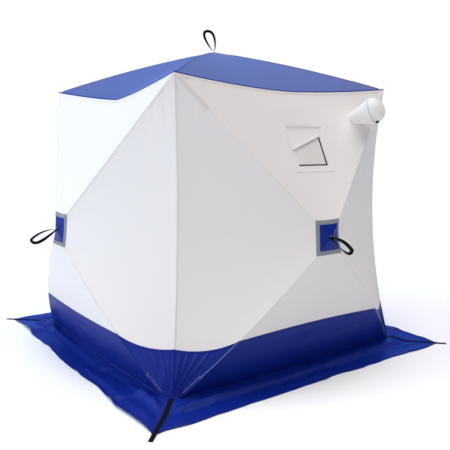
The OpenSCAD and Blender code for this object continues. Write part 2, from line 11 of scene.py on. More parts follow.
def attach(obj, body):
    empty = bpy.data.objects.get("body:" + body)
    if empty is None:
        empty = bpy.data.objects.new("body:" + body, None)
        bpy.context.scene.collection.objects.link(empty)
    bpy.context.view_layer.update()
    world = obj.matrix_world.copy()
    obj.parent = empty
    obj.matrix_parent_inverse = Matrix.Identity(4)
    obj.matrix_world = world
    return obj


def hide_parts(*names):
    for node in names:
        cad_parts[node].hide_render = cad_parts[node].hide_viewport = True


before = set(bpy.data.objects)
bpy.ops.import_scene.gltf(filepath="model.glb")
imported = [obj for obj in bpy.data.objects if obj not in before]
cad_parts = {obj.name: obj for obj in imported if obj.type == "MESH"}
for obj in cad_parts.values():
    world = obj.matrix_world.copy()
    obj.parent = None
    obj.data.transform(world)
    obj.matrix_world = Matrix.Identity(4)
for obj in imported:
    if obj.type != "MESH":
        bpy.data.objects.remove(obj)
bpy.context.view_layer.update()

bl_info = {
    "name": "Cube shelter for ice fishing",
    "version": (1, 0, 0),
    "blender": (4, 2, 0),
    "location": "View3D > Sidebar > Shelter",
    "description": "Sewn cloth, webbing, window, vent, door and a plain studio for the packed shelter",
    "category": "Object",
}

WALLS = ("front", "right", "back", "left")


# Sizes and colours


def length(name, default, note):
    """A length in metres that a user may change."""
    return FloatProperty(name=name, description=note, default=default, precision=4, unit="LENGTH")


def share(name, default, note):
    """A share from 0 to 1 that a user may change."""
    return FloatProperty(name=name, description=note, default=default, min=0.0, max=1.0, subtype="FACTOR")


def shade(name, red, green, blue, note):
    """A colour given as 8-bit sRGB and kept as linear light."""
    levels = [c / 255.0 for c in (red, green, blue)]
    linear = [c / 12.92 if c <= 0.04045 else ((c + 0.055) / 1.055) ** 2.4 for c in levels]
    limits = {"size": 3, "min": 0.0, "max": 1.0}
    return FloatVectorProperty(name=name, description=note, default=linear, subtype="COLOR", **limits)


class ShelterSizes(bpy.types.PropertyGroup):
    """Sizes of the cube, its cloth and its trimmings, the same as the CAD model's."""

    base_side: length("Base side", 1.8, "Side of the square between the bottom corners")
    top_side: length("Top side", 1.65, "Side of the square between the top corners")
    corner_height: length("Corner height", 1.757, "Height of the top corners")
    peak_height: length("Peak height", 2.023, "Height of the roof hub's outer face")
    hub_height: length("Hub height", 0.867, "Height of the wall hubs")
    hub_reach: length("Hub reach", 1.173, "Distance of a wall hub's outer face from the centre line")
    hub_flat: length("Hub flat", 0.044, "Width of the flat on each hub's outer face")
    cloth: length("Cloth", 0.003, "Thickness of the cloth")
    edge_draw: length("Edge draw", 0.093, "How far the corner edges are drawn in at mid height")
    seam_draw: length("Seam draw", 0.060, "How far the roof seams are drawn in at mid span")
    seam_sag: length("Seam sag", 0.051, "How far the roof seams sag at mid span")
    left_seam_draw: length("Left seam draw", 0.072, "How far the left roof seam is drawn in at mid span")
    left_seam_sag: length("Left seam sag", 0.093, "How far the left roof seam sags at mid span")
    foot_belly: length("Foot belly", 0.030, "How far the bottom edge of a wall bellies out")
    band_corner_height: length("Band at corners", 0.287, "Height of the lower band at the corner edges")
    band_height: length("Band at poles", 0.330, "Height of the lower band where it crosses the poles")
    band_arch: length("Band arch", 0.024, "Rise of the front band's top line between the poles")
    lower_bow: length("Lower pole bow", 0.044, "Outward bow of a wall's lower poles")
    roof_bow: length("Roof pole bow", 0.020, "Upward bow of the roof poles")
    pole_d: length("Pole", 0.0095, "Diameter of the poles")
    pole_inset: length("Pole inset", 0.01103, "Depth of the poles' middle lines behind the cloth's face")
    sleeve_wall: length("Sleeve cloth", 0.0015, "Thickness of the sleeves that hold the pole tips")
    sleeve_length: length("Sleeve length", 0.210, "Length of the sleeves that hold the pole tips")
    patch_side: length("Hub patch", 0.200, "Width of the square patch over each hub")
    border_w: length("Patch border", 0.025, "Width of the grey border around the patch")
    bolt_d: length("Hub bolt", 0.012, "Diameter of the bolt through each hub")
    loop_w: length("Loop width", 0.020, "Width of the pull loops")
    webbing: length("Webbing", 0.002, "Thickness of the webbing")
    loop_reach: length("Loop reach", 0.160, "Reach of a wall's pull loop")
    loop_drop: length("Loop drop", 0.050, "Drop of a wall's pull loop")
    roof_loop_height: length("Roof loop height", 0.150, "Height of the roof's pull loop")
    strap_w: length("Corner strap", 0.026, "Width of the straps on the skirt's corners")
    strap_tail: length("Strap tail", 0.060, "Length of a corner strap beyond the skirt")
    skirt_w: length("Skirt", 0.240, "Width of the skirt that lies on the ice")
    skirt_seam: length("Skirt seam", 0.030, "Height at which the skirt is sewn on")
    window_w: length("Window width", 0.230, "Width of the window")
    window_h: length("Window height", 0.214, "Height of the window up the slope")
    tape_w: length("Window tape", 0.009, "Width of the zip tape around the window")
    vent_mouth_d: length("Vent rim", 0.165, "Diameter of the vent hood at its rim")
    vent_tip_d: length("Vent foot", 0.080, "Diameter of the vent hood where its middle line meets the wall")
    vent_length: length("Vent length", 0.130, "Length of the vent hood from the wall to its rim")
    vent_bulge: length("Vent dome", 0.075, "Length of the dome that closes the vent hood")
    door_w: length("Door width", 0.500, "Width of the door")
    door_corner_r: length("Door corner", 0.060, "Radius of the door's corners")
    door_head: share("Door head", 0.767, "Height of the door's head from the hubs to the top corners")
    zip_w: length("Door zip", 0.014, "Width of the zip around the door")
    pocket_w: length("Pocket", 0.040, "Width of the pole pockets sewn on at the corners")
    pocket_length: length("Pocket length", 0.240, "Length of the pole pockets")
    low_pocket_w: length("Low pocket", 0.030, "Width of the pole pockets sewn on the bands")
    low_pocket_length: length("Low pocket length", 0.130, "Length of the pole pockets sewn on the bands")
    pleat: length("Pleat", 0.007, "Height of the pleats in the bands beside the corners")
    fold: length("Skirt fold", 0.022, "Height of the folds in the skirts")
    hem_w: length("Hem", 0.016, "Width of the hems")
    slack: length("Slack", 0.0032, "Depth of the soft waves in the walls")
    stitch: length("Stitch", 0.007, "Distance from one stitch to the next")


class ShelterColours(bpy.types.PropertyGroup):
    """Colours of the cloth and trimmings."""

    white: shade("White cloth", 234, 228, 225, "Upper walls, flap, vent and door")
    blue: shade("Blue cloth", 7, 34, 130, "Lower bands, skirts and hub patches")
    # Lighter than the bands' blue: partly the roof's own tone and partly painted light from the lamps above
    # falling on its upward slopes
    roof: shade("Roof cloth", 72, 86, 150, "Roof")
    grey: shade("Grey tape", 132, 133, 138, "Borders of the hub patches")
    # Greyer than the white cloth: painted shade for the shaded sides of the raised pockets, used only on the
    # front wall's upper pockets
    pocket: shade("Pocket cloth", 219, 212, 208, "Pole pockets at the top corners")
    black: shade("Webbing", 9, 9, 11, "Loops, straps and zips")
    film: shade("Window film", 232, 226, 222, "Window pane")
    thread: shade("Thread", 226, 228, 236, "Stitching on the blue cloth")
    pole: shade("Pole", 38, 39, 43, "Fibreglass poles")
    floor: shade("Floor", 246, 246, 246, "Studio floor")


def sizes():
    """The sizes that the open scene holds."""
    return bpy.context.scene.shelter_sizes


def colours():
    """The colours that the open scene holds."""
    return bpy.context.scene.shelter_colours


# Numbers on whole arrays


def mix(a, b, f):
    """The point or number a share f of the way from a to b."""
    return a + (b - a) * f


def arch(f, power=2.0):
    """0 at both ends of f and 1 in the middle: 1 less a power of the distance from the middle."""
    return 1.0 - np.abs(2.0 * f - 1.0) ** power


def ease(f):
    """An S curve from 0 to 1: three squares less two cubes of f."""
    f = np.clip(f, 0.0, 1.0)
    return f * f * (3.0 - 2.0 * f)


def faded(f, start, end):
    """1 over most of f, with an S curve up from 0 at its start and another down to 0 at its end."""
    return ease(f / start) * ease((1 - f) / end)


def unit(v):
    """Directions of length 1: each vector divided by its length."""
    return v / np.maximum(np.linalg.norm(v, axis=-1, keepdims=True), 1e-12)


def angles(sides):
    """Even angles once round a circle."""
    return np.arange(sides) / sides * 2 * math.pi


def round_about(turn, side, up):
    """Directions round a circle: the cosine of each angle along side and its sine along up."""
    return np.cos(turn)[:, None] * side + np.sin(turn)[:, None] * up


def run_along(path):
    """Length along a path up to each of its points: the running sum of its steps."""
    return np.r_[0, np.cumsum(np.linalg.norm(np.diff(path, axis=0), axis=1))]


def path_length(path):
    """Length of a path: the sum of its steps."""
    return float(np.linalg.norm(np.diff(path, axis=0), axis=1).sum())


# Random numbers at the points of a cubic lattice that repeats
CELLS = 24
LATTICE = np.random.default_rng(41).uniform(-1.0, 1.0, (CELLS, CELLS, CELLS))


def ripples(points, cell, seed):
    """Smooth random heights from -1 to 1: a lattice of random numbers, cell apart, blended with S curves."""
    p = np.asarray(points) / cell + 7.31 * seed
    low = np.floor(p).astype(int)
    f = ease(p - low)
    total = 0.0
    for corner in np.ndindex(2, 2, 2):
        weight = np.prod(np.where(np.array(corner) == 1, f, 1.0 - f), axis=-1)
        index = (low + np.array(corner)) % CELLS
        total = total + weight * LATTICE[index[..., 0], index[..., 1], index[..., 2]]
    return total


def outline_distance(x, y, outline):
    """Distance of points from a polygon's outline, below 0 inside it."""
    p = np.stack([x, y], axis=-1)
    best, inside = np.full(np.shape(x), 1e9), np.zeros(np.shape(x), bool)
    for a, b in zip(outline, np.roll(outline, -1, axis=0)):
        along = np.clip(((p - a) @ (b - a)) / ((b - a) @ (b - a)), 0.0, 1.0)
        best = np.minimum(best, np.linalg.norm(p - a - along[..., None] * (b - a), axis=-1))
        crosses = (a[1] > y) != (b[1] > y)
        reach = a[0] + (y - a[1]) * (b[0] - a[0]) / np.where(b[1] == a[1], 1.0, b[1] - a[1])
        inside ^= crosses & (x < reach)
    return np.where(inside, -best, best)


def turned(points, wall):
    """Points of the front wall turned about the upright axis to another wall."""
    x, y, z = np.moveaxis(np.asarray(points, float), -1, 0)
    x, y = {"front": (x, y), "right": (-y, x), "back": (-x, -y), "left": (y, -x)}[wall]
    return np.stack([x, y, z], axis=-1)


# Shape of the cube

# Corners of a square, anticlockwise from its lower left
SQUARE = np.array([(-1, -1), (1, -1), (1, 1), (-1, 1)])


class CubeShape:
    """The cloth's outer face: saddle panels stretched between the outline of each side and its hub."""

    seam_power = 1.6
    left_seam_power = 1.25

    def __init__(self):
        """Corners and hub flats of the front wall, and the shares at which its trimmings start and end."""
        z = self.size = sizes()
        base, top, flat = z.base_side / 2, z.top_side / 2, z.hub_flat / 2
        self.half_base, self.half_top, self.half_flat = base, top, flat
        self.corners = np.array([(x * r, -r, h) for x, r, h in (
            (-1, base, 0), (1, base, 0), (1, top, z.corner_height), (-1, top, z.corner_height)
        )])
        self.flats = np.array([(x * flat, -z.hub_reach, z.hub_height + up * flat) for x, up in SQUARE])
        rise, run = z.hub_height - flat, top - flat
        self.border_t = 1 - (z.patch_side / 2 - flat) / rise
        self.patch_t = 1 - (z.patch_side / 2 - z.border_w - flat) / rise
        self.roof_border_t = 1 - (z.patch_side / 2 - flat) / run
        self.roof_patch_t = 1 - (z.patch_side / 2 - z.border_w - flat) / run
        self.band_t = z.band_height / rise
        self.band_s = z.band_corner_height / z.corner_height
        self.seam_t = (z.skirt_seam + z.cloth) / rise
        self.seam_s = (z.skirt_seam + z.cloth) / z.corner_height

    def band_line(self, k, wall):
        """Share of the way up the foot panel at which the band ends: level, or an arch on the front."""
        rise = self.size.band_arch if wall == "front" else 0.0
        return self.band_t * (1 + rise / self.size.band_height * arch(k))

    def edge(self, i, f, wall):
        """Outline edge i of a wall: a straight line, bent by an arch inwards, or outwards at the foot."""
        z, f = self.size, np.asarray(f, float)
        line = mix(self.corners[i], self.corners[(i + 1) % 4], f[..., None])
        slant = z.edge_draw / math.sqrt(2)
        if i == 2 and wall == "left":
            pull = np.array([0, z.left_seam_draw, -z.left_seam_sag])
            return line + arch(f, self.left_seam_power)[..., None] * pull
        foot, seam = (0, -z.foot_belly, 0), (0, z.seam_draw, -z.seam_sag)
        pull = (foot, (-slant, slant, 0), seam, (slant, slant, 0))[i]
        return line + arch(f, self.seam_power if i == 2 else 2.0)[..., None] * np.array(pull)

    def pole_line(self, i, t):
        """Line from corner i to the hub: straight above, bowed outwards by an arch below."""
        t = np.asarray(t, float)
        line = mix(self.corners[i], self.flats[i], t[..., None])
        return line - (arch(t)[..., None] * np.array([0, self.size.lower_bow, 0]) if i < 2 else 0.0)

    def panel(self, i, s, t, wall):
        """Saddle panel: outline edge and hub side blended along t, plus the two pole lines blended
        along s, less the corners that both of them count."""
        s, t = np.broadcast_arrays(np.asarray(s, float), np.asarray(t, float))
        j, c, h = (i + 1) % 4, self.corners, self.flats
        s1, t1 = s[..., None], t[..., None]
        blend = mix(self.edge(i, s, wall), mix(h[i], h[j], s1), t1)
        blend = blend + mix(self.pole_line(i, t), self.pole_line(j, t), s1)
        return blend - mix(mix(c[i], h[i], t1), mix(c[j], h[j], t1), s1)

    def roof_line(self, side, t):
        """Roof pole line over the front wall's left (-1) or right (1) corner, bowed upwards by an arch."""
        z, t = self.size, np.asarray(t, float)
        foot = np.array([side * self.half_top, -self.half_top, z.corner_height])
        head = np.array([side * self.half_flat, -self.half_flat, z.peak_height])
        return mix(foot, head, t[..., None]) + arch(t)[..., None] * np.array([0, 0, z.roof_bow])

    def roof_panel(self, s, t, wall):
        """The roof's panel over one wall, blended in the same way as a wall's panel."""
        s, t = np.broadcast_arrays(np.asarray(s, float), np.asarray(t, float))
        s1, t1 = s[..., None], t[..., None]
        ends = [[self.roof_line(side, np.array(float(top))) for top in (0, 1)] for side in (-1, 1)]
        blend = mix(self.edge(2, 1 - s, wall), mix(ends[0][1], ends[1][1], s1), t1)
        blend = blend + mix(self.roof_line(-1, t), self.roof_line(1, t), s1)
        return blend - mix(mix(ends[0][0], ends[0][1], t1), mix(ends[1][0], ends[1][1], t1), s1)

    def drawn_in(self, points, depth):
        """Points moved inwards by a depth: towards the centre line, and down as well above the hubs."""
        z, depth = self.size, np.asarray(depth, float)
        x, y, height = np.moveaxis(points, -1, 0)
        keep = 1 - depth / self.half_base
        fall = depth * np.maximum(0.0, (height - z.hub_height) / (z.peak_height - z.hub_height))
        return np.stack([x * keep, y * keep, height - fall], axis=-1)

    def normal(self, i, s, t, wall, step=1e-3):
        """Outward normal of a panel: the cross product of its two slopes."""
        across = self.panel(i, s + step, t, wall) - self.panel(i, s - step, t, wall)
        up = self.panel(i, s, t + step, wall) - self.panel(i, s, t - step, wall)
        return unit(np.cross(across, up))

    def find(self, i, x, height, wall):
        """Parameters of the panel's points that lie at x and height, by Newton's steps."""
        x, height = np.broadcast_arrays(np.asarray(x, float), np.asarray(height, float))
        s, t, step = np.full(x.shape, 0.5), np.full(x.shape, 0.3), 1e-4
        for _ in range(14):
            p = self.panel(i, s, t, wall)
            ds = (self.panel(i, s + step, t, wall) - p) / step
            dt = (self.panel(i, s, t + step, wall) - p) / step
            miss_x, miss_z = x - p[..., 0], height - p[..., 2]
            det = ds[..., 0] * dt[..., 2] - dt[..., 0] * ds[..., 2]
            s = s + (miss_x * dt[..., 2] - dt[..., 0] * miss_z) / det
            t = t + (ds[..., 0] * miss_z - ds[..., 2] * miss_x) / det
        return s, t

    def laid(self, i, x, height, wall, lift=0.0):
        """Points at x and height, lifted off the panel along its normal, and those normals."""
        s, t = self.find(i, x, height, wall)
        normals = self.normal(i, s, t, wall)
        return self.panel(i, s, t, wall) + normals * np.asarray(lift)[..., None], normals

    def wall_grid(self, wall, edge_steps, fan_steps, rows):
        """Points from the outline above the band (first row) to the hub's border (last row), in columns
        anticlockwise round the hub, with each point's panel, s, and share of the way to the hub."""
        k, fan = np.arange(edge_steps) / edge_steps, np.arange(fan_steps) / fan_steps
        side = fan_steps + edge_steps
        whole = np.arange(side) / side
        zero, band_s, band_t = np.zeros(edge_steps), self.band_s, self.band_t
        blocks = (
            (0, k, self.band_line(k, wall), k),
            (1, np.r_[band_s * fan, mix(band_s, 1, k)], np.r_[band_t * (1 - fan), zero], whole),
            (2, k, zero, k),
            (3, np.r_[(1 - band_s) * k, 1 - band_s * (1 - fan)], np.r_[zero, band_t * fan], whole),
        )
        f = np.linspace(0, 1, rows + 1)[:, None] ** 1.35
        points, panels, across = [], [], []
        for i, s0, t0, s1 in blocks:
            s, t = mix(s0, s1, f), mix(t0, self.border_t, f)
            points.append(self.panel(i, s, t, wall))
            panels.append(np.full(s.shape, i))
            across.append(np.broadcast_to(s1, s.shape))
        shares = [np.broadcast_to(f, p.shape) for p in panels]
        return (np.concatenate(part, axis=1) for part in (points, panels, across, shares))

    def band_grid(self, wall, rise, columns, fan):
        """Points of a wall's lower band, a row for each share of the way up: the left corner's fan, the
        panel at the foot and the right corner's fan."""
        f = rise[:, None]
        k, part = np.arange(columns + 1) / columns, np.arange(fan) / fan
        later = np.arange(1, fan + 1) / fan
        left = self.panel(3, mix(1.0, 1 - self.band_s * (1 - part), f), self.band_t * part * f, wall)
        foot = self.panel(0, k, self.band_line(k, wall) * f, wall)
        right = self.panel(1, self.band_s * later * f, self.band_t * (1 - later) * f, wall)
        return np.concatenate([left, foot, right], axis=1)

    def seam_corner(self, i, wall):
        """End of the skirt's seam on the corner edge of panel 1 or 3, as a row of one point."""
        s = self.seam_s if i == 1 else 1 - self.seam_s
        return self.panel(i, np.array([s]), np.array([0.0]), wall)

    def hub_ring(self, wall, t, steps):
        """Ring of points round a wall's hub at share t, anticlockwise from its lower left corner."""
        k = np.arange(steps) / steps
        return np.concatenate([self.panel(i, k, np.full(steps, t), wall) for i in range(4)])

    def roof_ring(self, t, steps):
        """Ring of points round the roof's hub at share t, anticlockwise from above the front wall."""
        k = np.arange(steps) / steps
        return np.concatenate([turned(self.roof_panel(k, np.full(steps, t), w), w) for w in WALLS])


# Meshes


def grid_faces(rows, columns, closed=False):
    """Quads of a grid of points, with its last column joined to its first where it is closed."""
    across = np.arange(columns if closed else columns - 1)
    i, j = np.meshgrid(np.arange(rows - 1), across, indexing="ij")
    low, high, right = i * columns, (i + 1) * columns, (j + 1) % columns
    return np.stack([low + j, low + right, high + right, high + j], axis=-1).reshape(-1, 4)


def weld(points, faces, near=2e-5):
    """Points that coincide become one, and faces that have shrunk to nothing are dropped."""
    keys = np.round(points / near).astype(np.int64)
    _, first, index = np.unique(keys, axis=0, return_index=True, return_inverse=True)
    faces = index.reshape(-1)[faces]
    kept = np.array([len(set(f)) > 2 for f in faces.tolist()], bool)
    return points[first], faces[kept], first


def shell(outer, inner, faces):
    """A closed sheet: the outer layer, the inner layer turned over, and a rim along every open edge."""
    count = len(outer)
    sides = np.stack([faces, np.roll(faces, -1, axis=1)], axis=2).reshape(-1, 2)
    sides = sides[sides[:, 0] != sides[:, 1]]
    lone = ~np.isin(sides[:, 0] * count + sides[:, 1], sides[:, 1] * count + sides[:, 0])
    a, b = sides[lone].T
    rim = np.stack([b, a, a + count, b + count], axis=1)
    return np.vstack([outer, inner]), np.vstack([faces, faces[:, ::-1] + count, rim])


def sheet_between(face, back):
    """Closed sheet between two grids of points."""
    return shell(face.reshape(-1, 3), back.reshape(-1, 3), grid_faces(*face.shape[:2]))


def only_used(points, faces):
    """The points that some face uses, and the faces numbered anew."""
    used, compact = np.unique(faces, return_inverse=True)
    return points[used], compact.reshape(faces.shape)


def carry(profile, path, across, up, closed=False):
    """A closed profile carried along a path: at each point of the path, the profile's first number
    runs along across and its second along up. The ends are capped with a fan unless the path closes."""
    rings = path[:, None] + profile[None, :, :1] * across[:, None] + profile[None, :, 1:] * up[:, None]
    count, sides = rings.shape[:2]
    if closed:
        rings = np.concatenate([rings, rings[:1]])
        points, faces, _ = weld(rings.reshape(-1, 3), grid_faces(count + 1, sides, True))
        return points, faces
    points = np.vstack([rings.reshape(-1, 3), rings[0].mean(0), rings[-1].mean(0)])
    k = np.arange(sides)
    after, first, last = (k + 1) % sides, count * sides, count * sides + 1
    caps = [np.stack([after, k, np.full(sides, first), np.full(sides, first)], 1)]
    base = (count - 1) * sides
    caps.append(np.stack([base + k, base + after, np.full(sides, last), np.full(sides, last)], 1))
    return points, np.vstack([grid_faces(count, sides, True), *caps])


def round_profile(radius, sides=10):
    """Round section: even points on a circle."""
    turn = angles(sides)
    return np.stack([np.cos(turn), np.sin(turn)], axis=1) * radius


def flat_profile(width, thickness):
    """Flat strap's section, its corners taken off."""
    w, t, c = width / 2, thickness / 2, thickness * 0.35
    lower = [(-w + c, -t), (0, -t), (w - c, -t), (w, -t + c), (w, t - c)]
    upper = [(w - c, t), (0, t), (-w + c, t), (-w, t - c), (-w, -t + c)]
    return np.array(lower + upper)


def joined(parts):
    """Several meshes as one."""
    shift, points, faces = 0, [], []
    for p, f in parts:
        points.append(p)
        faces.append(f + shift)
        shift += len(p)
    return np.vstack(points), np.vstack(faces)


def directions(path, normal, closed=False):
    """Across and up directions along a path that lies on a surface with these normals."""
    step = np.roll(path, -1, axis=0) - np.roll(path, 1, axis=0) if closed else np.gradient(path, axis=0)
    along = unit(step)
    across = unit(np.cross(along, normal))
    return across, unit(np.cross(across, along))


def grid_normals(grid):
    """Normals of a grid of points: the cross product of its slopes along columns and rows."""
    return unit(np.cross(np.gradient(grid, axis=1), np.gradient(grid, axis=0)))


# Points nearer than this are one, on pieces that close to a point
CLOSE = 1e-7


def lathe(heights, radii, base, axis, sides=20):
    """A round piece: rings of the given radii at heights along an axis, closed at both ends."""
    axis = unit(np.asarray(axis, float))
    across = unit(np.cross(axis, [0.31, 0.17, 0.94]))
    ring = round_about(angles(sides), across, np.cross(axis, across))
    radii, heights = np.r_[0.0, radii, 0.0], np.r_[heights[0], heights, heights[-1]]
    grid = base + heights[:, None, None] * axis + radii[:, None, None] * ring
    return weld(grid.reshape(-1, 3), grid_faces(len(radii), sides, True), CLOSE)[:2]


def spaced(path, normal, pitch):
    """Points at an even pitch along a path, with their normals."""
    run = run_along(path)
    at = np.arange(pitch / 2, run[-1], pitch)
    there, up = (np.stack([np.interp(at, run, a[:, k]) for k in range(3)], axis=1) for a in (path, normal))
    return there, unit(up)


def stitches(path, normal, pitch, thread=0.0011):
    """Row of raised stitches: at even steps along a path, a bar two thirds of the pitch long."""
    centre, up = spaced(path, normal, pitch)
    if len(centre) < 2:
        return np.zeros((0, 3)), np.zeros((0, 4), int)
    across, up = directions(centre, up)
    along = np.cross(up, across)
    bar = np.vstack([np.c_[SQUARE, -np.ones(4)], np.c_[0.7 * SQUARE, np.ones(4)]])
    bar = bar * (pitch * 0.34, thread / 2, thread / 2)
    points = centre[:, None] + bar[:, :1] * along[:, None]
    points = points + bar[:, 1:2] * across[:, None] + bar[:, 2:] * up[:, None]
    box = np.array([(0, 3, 2, 1), (4, 5, 6, 7), (0, 1, 5, 4), (1, 2, 6, 5), (2, 3, 7, 6), (3, 0, 4, 7)])
    return points.reshape(-1, 3), (box[None] + 8 * np.arange(len(centre))[:, None, None]).reshape(-1, 4)


def signed_volume(points, faces):
    """Six times the volume of a closed mesh: below 0 where its faces point inwards."""
    a, b, c, d = (points[faces[:, k]] for k in range(4))
    return float((a * np.cross(b, c)).sum() + (a * np.cross(c, d)).sum())


def put(name, points, faces, finish, slot, uv, nodes=(), sharp=32.0):
    """Makes a piece of the shelter that rides on its one body and stands for the given CAD nodes.
    uv holds two lengths for each point, in metres along and across the cloth."""
    if signed_volume(points, faces) < 0:
        faces = faces[:, ::-1]
    polygons = [list(dict.fromkeys(f)) for f in faces.tolist()]
    mesh = bpy.data.meshes.new(name)
    mesh.from_pydata(points.tolist(), [], polygons)
    layer = mesh.uv_layers.new(name="UVMap")
    corner_points = np.empty(len(mesh.loops), np.int32)
    mesh.loops.foreach_get("vertex_index", corner_points)
    layer.data.foreach_set("uv", np.asarray(uv, np.float32)[corner_points].ravel())
    mesh.polygons.foreach_set("use_smooth", np.ones(len(mesh.polygons), bool))
    mesh.set_sharp_from_angle(angle=math.radians(sharp))
    mesh.materials.append(finish)
    piece = bpy.data.objects.new(name, mesh)
    bpy.context.scene.collection.objects.link(piece)
    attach(piece, "root")
    if nodes:
        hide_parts(*nodes)
    return piece


def plan_uv(points, wall=None):
    """Cloth coordinates of a wall, seen square on, or of a level piece seen from above."""
    if wall is None:
        return points[:, :2]
    back = {"front": "front", "right": "left", "back": "back", "left": "right"}[wall]
    return turned(points, back)[:, [0, 2]]


def sheet_area(points, faces):
    """Area of a sheet: the sum of the two triangles of each face."""
    a, b, c, d = (points[faces[:, k]] for k in range(4))
    halves = (np.cross(b - a, c - a), np.cross(c - a, d - a))
    return sum(np.linalg.norm(half, axis=1).sum() / 2 for half in halves)


def cut_size(points, faces, u, v):
    """Flat size and area of a piece of cloth before it is sewn in: the lengths along its middle row and
    column, rounded up to a millimetre, and the sum of its faces."""
    area, wide, tall = sheet_area(points, faces), path_length(u), path_length(v)
    size = tuple(math.ceil(side * 1000) / 1000 for side in (max(wide, area / tall), tall))
    return size, round(float(area), 4)


# Finishes


class Signal:
    """A node's output. Arithmetic on it adds Math nodes."""

    def __init__(self, finish, node, out=0):
        """Keeps the finish, the node and the chosen output."""
        self.finish, self.node, self.socket = finish, node, node.outputs[out]

    def output(self, out):
        """Another output of the same node."""
        return Signal(self.finish, self.node, out)

    def maths(self, operation, a, b=0.0):
        """A Math node that works on a and b."""
        return self.finish.node("ShaderNodeMath", {"operation": operation}, {0: a, 1: b})

    def __add__(self, other):
        """This and the other, added."""
        return self.maths("ADD", self, other)

    def __radd__(self, other):
        """The other and this, added."""
        return self.maths("ADD", other, self)

    def __sub__(self, other):
        """This less the other."""
        return self.maths("SUBTRACT", self, other)

    def __mul__(self, other):
        """This times the other."""
        return self.maths("MULTIPLY", self, other)

    def __rmul__(self, other):
        """The other times this."""
        return self.maths("MULTIPLY", other, self)

    def wave(self, pitch):
        """Sine of a length, once for each pitch."""
        return self.maths("SINE", self * (2 * math.pi / pitch))


class Finish:
    """A procedural material on one Principled shader."""

    def __init__(self, name, **fixed):
        """A new material with the shader's fixed values, whose names have underscores for spaces."""
        self.material = bpy.data.materials.new(name)
        self.material.use_nodes = True
        self.tree = self.material.node_tree
        self.tree.nodes.clear()
        self.shader = self.tree.nodes.new("ShaderNodeBsdfPrincipled")
        end = self.tree.nodes.new("ShaderNodeOutputMaterial")
        self.tree.links.new(self.shader.outputs[0], end.inputs[0])
        self.set(**{key.replace("_", " "): value for key, value in fixed.items()})

    def fill(self, socket, value):
        """Gives a socket a value, or a link where the value is a signal."""
        if isinstance(value, Signal):
            self.tree.links.new(value.socket, socket)
        else:
            socket.default_value = value

    def set(self, **values):
        """Gives the shader's sockets their values or links."""
        for key, value in values.items():
            self.fill(self.shader.inputs[{"Specular": "Specular IOR Level"}.get(key, key)], value)

    def node(self, kind, settings=None, values=None, out=0):
        """Any node: its settings are set first, then each socket gets its value or link."""
        made = self.tree.nodes.new(kind)
        for key, value in (settings or {}).items():
            setattr(made, key, value)
        for key, value in (values or {}).items():
            self.fill(made.inputs[key], value)
        return Signal(self, made, out)

    def place(self):
        """Place in the piece's own coordinates."""
        return self.node("ShaderNodeTexCoord", out=3)

    def cloth_place(self):
        """Lengths along and across the cloth, from the piece's own UV map."""
        lengths = self.node("ShaderNodeUVMap", {"uv_map": "UVMap"})
        split = self.node("ShaderNodeSeparateXYZ", values={0: lengths})
        return split.output(0), split.output(1)

    def noise(self, vector, scale, detail=2.0):
        """Smooth random shares at a scale."""
        return self.node("ShaderNodeTexNoise", values={"Vector": vector, "Scale": scale, "Detail": detail})

    def vector(self, x, y, z=0.0):
        """A vector from its three numbers."""
        return self.node("ShaderNodeCombineXYZ", values={0: x, 1: y, 2: z})

    def colour(self, factor, a, b):
        """Makes the base colour a share of the way from colour a to colour b."""
        values = {0: factor, 6: (*a, 1.0), 7: (*b, 1.0)}
        self.set(**{"Base Color": self.node("ShaderNodeMix", {"data_type": "RGBA"}, values, out=2)})

    def bump(self, height, distance, strength=1.0):
        """Bump mapping by a height."""
        values = {"Height": height, "Distance": distance, "Strength": strength}
        self.set(Normal=self.node("ShaderNodeBump", values=values))


def tinted(colour, level):
    """A colour times a level, at most 1."""
    return tuple(min(1.0, c * level) for c in colour)


def woven(name, colour, rough, sheen, spread=0.05, pitch=0.0013, creases=0.35, gloss=0.35):
    """Plain woven cloth: yarns over and under at the pitch, uneven yarns, soft storage creases and
    slow changes of shade."""
    f = Finish(name, Sheen_Weight=sheen, Sheen_Roughness=0.4, Specular=gloss)
    u, v = f.cloth_place()
    spot = f.place()
    slub = f.noise(f.vector(u * 14.0, v * 620.0), 1.0) + f.noise(f.vector(u * 620.0, v * 14.0), 1.0)
    slow = f.noise(spot, 2.6, 3.0)
    tone = 0.35 * slub + 0.65 * slow
    f.colour(tone - 0.12, tinted(colour, 1.0 - spread), tinted(colour, 1.0 + spread))
    f.set(Roughness=rough + 0.12 * (slow - 0.5))
    fold = f.node("ShaderNodeTexVoronoi", {"feature": "DISTANCE_TO_EDGE"}, {"Vector": spot, "Scale": 3.4})
    limits = {0: fold, 1: 0.0, 2: 0.05, 3: 0.0, 4: 1.0}
    crease = f.node("ShaderNodeMapRange", {"interpolation_type": "SMOOTHSTEP"}, limits)
    yarn = u.wave(pitch) * v.wave(pitch)
    f.bump(0.16 * yarn + 0.12 * slub + creases * crease + 0.5 * slow, 0.0016, 0.5)
    return f.material


def webbing_finish():
    """Black webbing: ribs along and across the strap, and fine grain."""
    f = Finish("webbing", Specular=0.12)
    u, v = f.cloth_place()
    grain = f.noise(f.place(), 420.0)
    ribs = u.wave(0.0022) * v.wave(0.0031)
    dark = tuple(colours().black)
    f.colour(0.5 + 0.35 * ribs + 0.3 * (grain - 0.5), tinted(dark, 0.4), tinted(dark, 1.5))
    f.set(Roughness=0.62 + 0.15 * grain)
    f.bump(ribs + 0.5 * grain, 0.0005, 0.6)
    return f.material


def moulded(name, colour, rough, grain_size, gloss=0.4):
    """Moulded plastic: fine spark grain, and slow changes of gloss."""
    f = Finish(name, Specular=gloss)
    spot = f.place()
    grain, slow = f.noise(spot, 1.0 / grain_size, 3.0), f.noise(spot, 18.0)
    f.colour(grain, tinted(colour, 0.75), tinted(colour, 1.3))
    f.set(Roughness=rough + 0.2 * (slow - 0.5))
    f.bump(grain, 0.0002, 0.5)
    return f.material


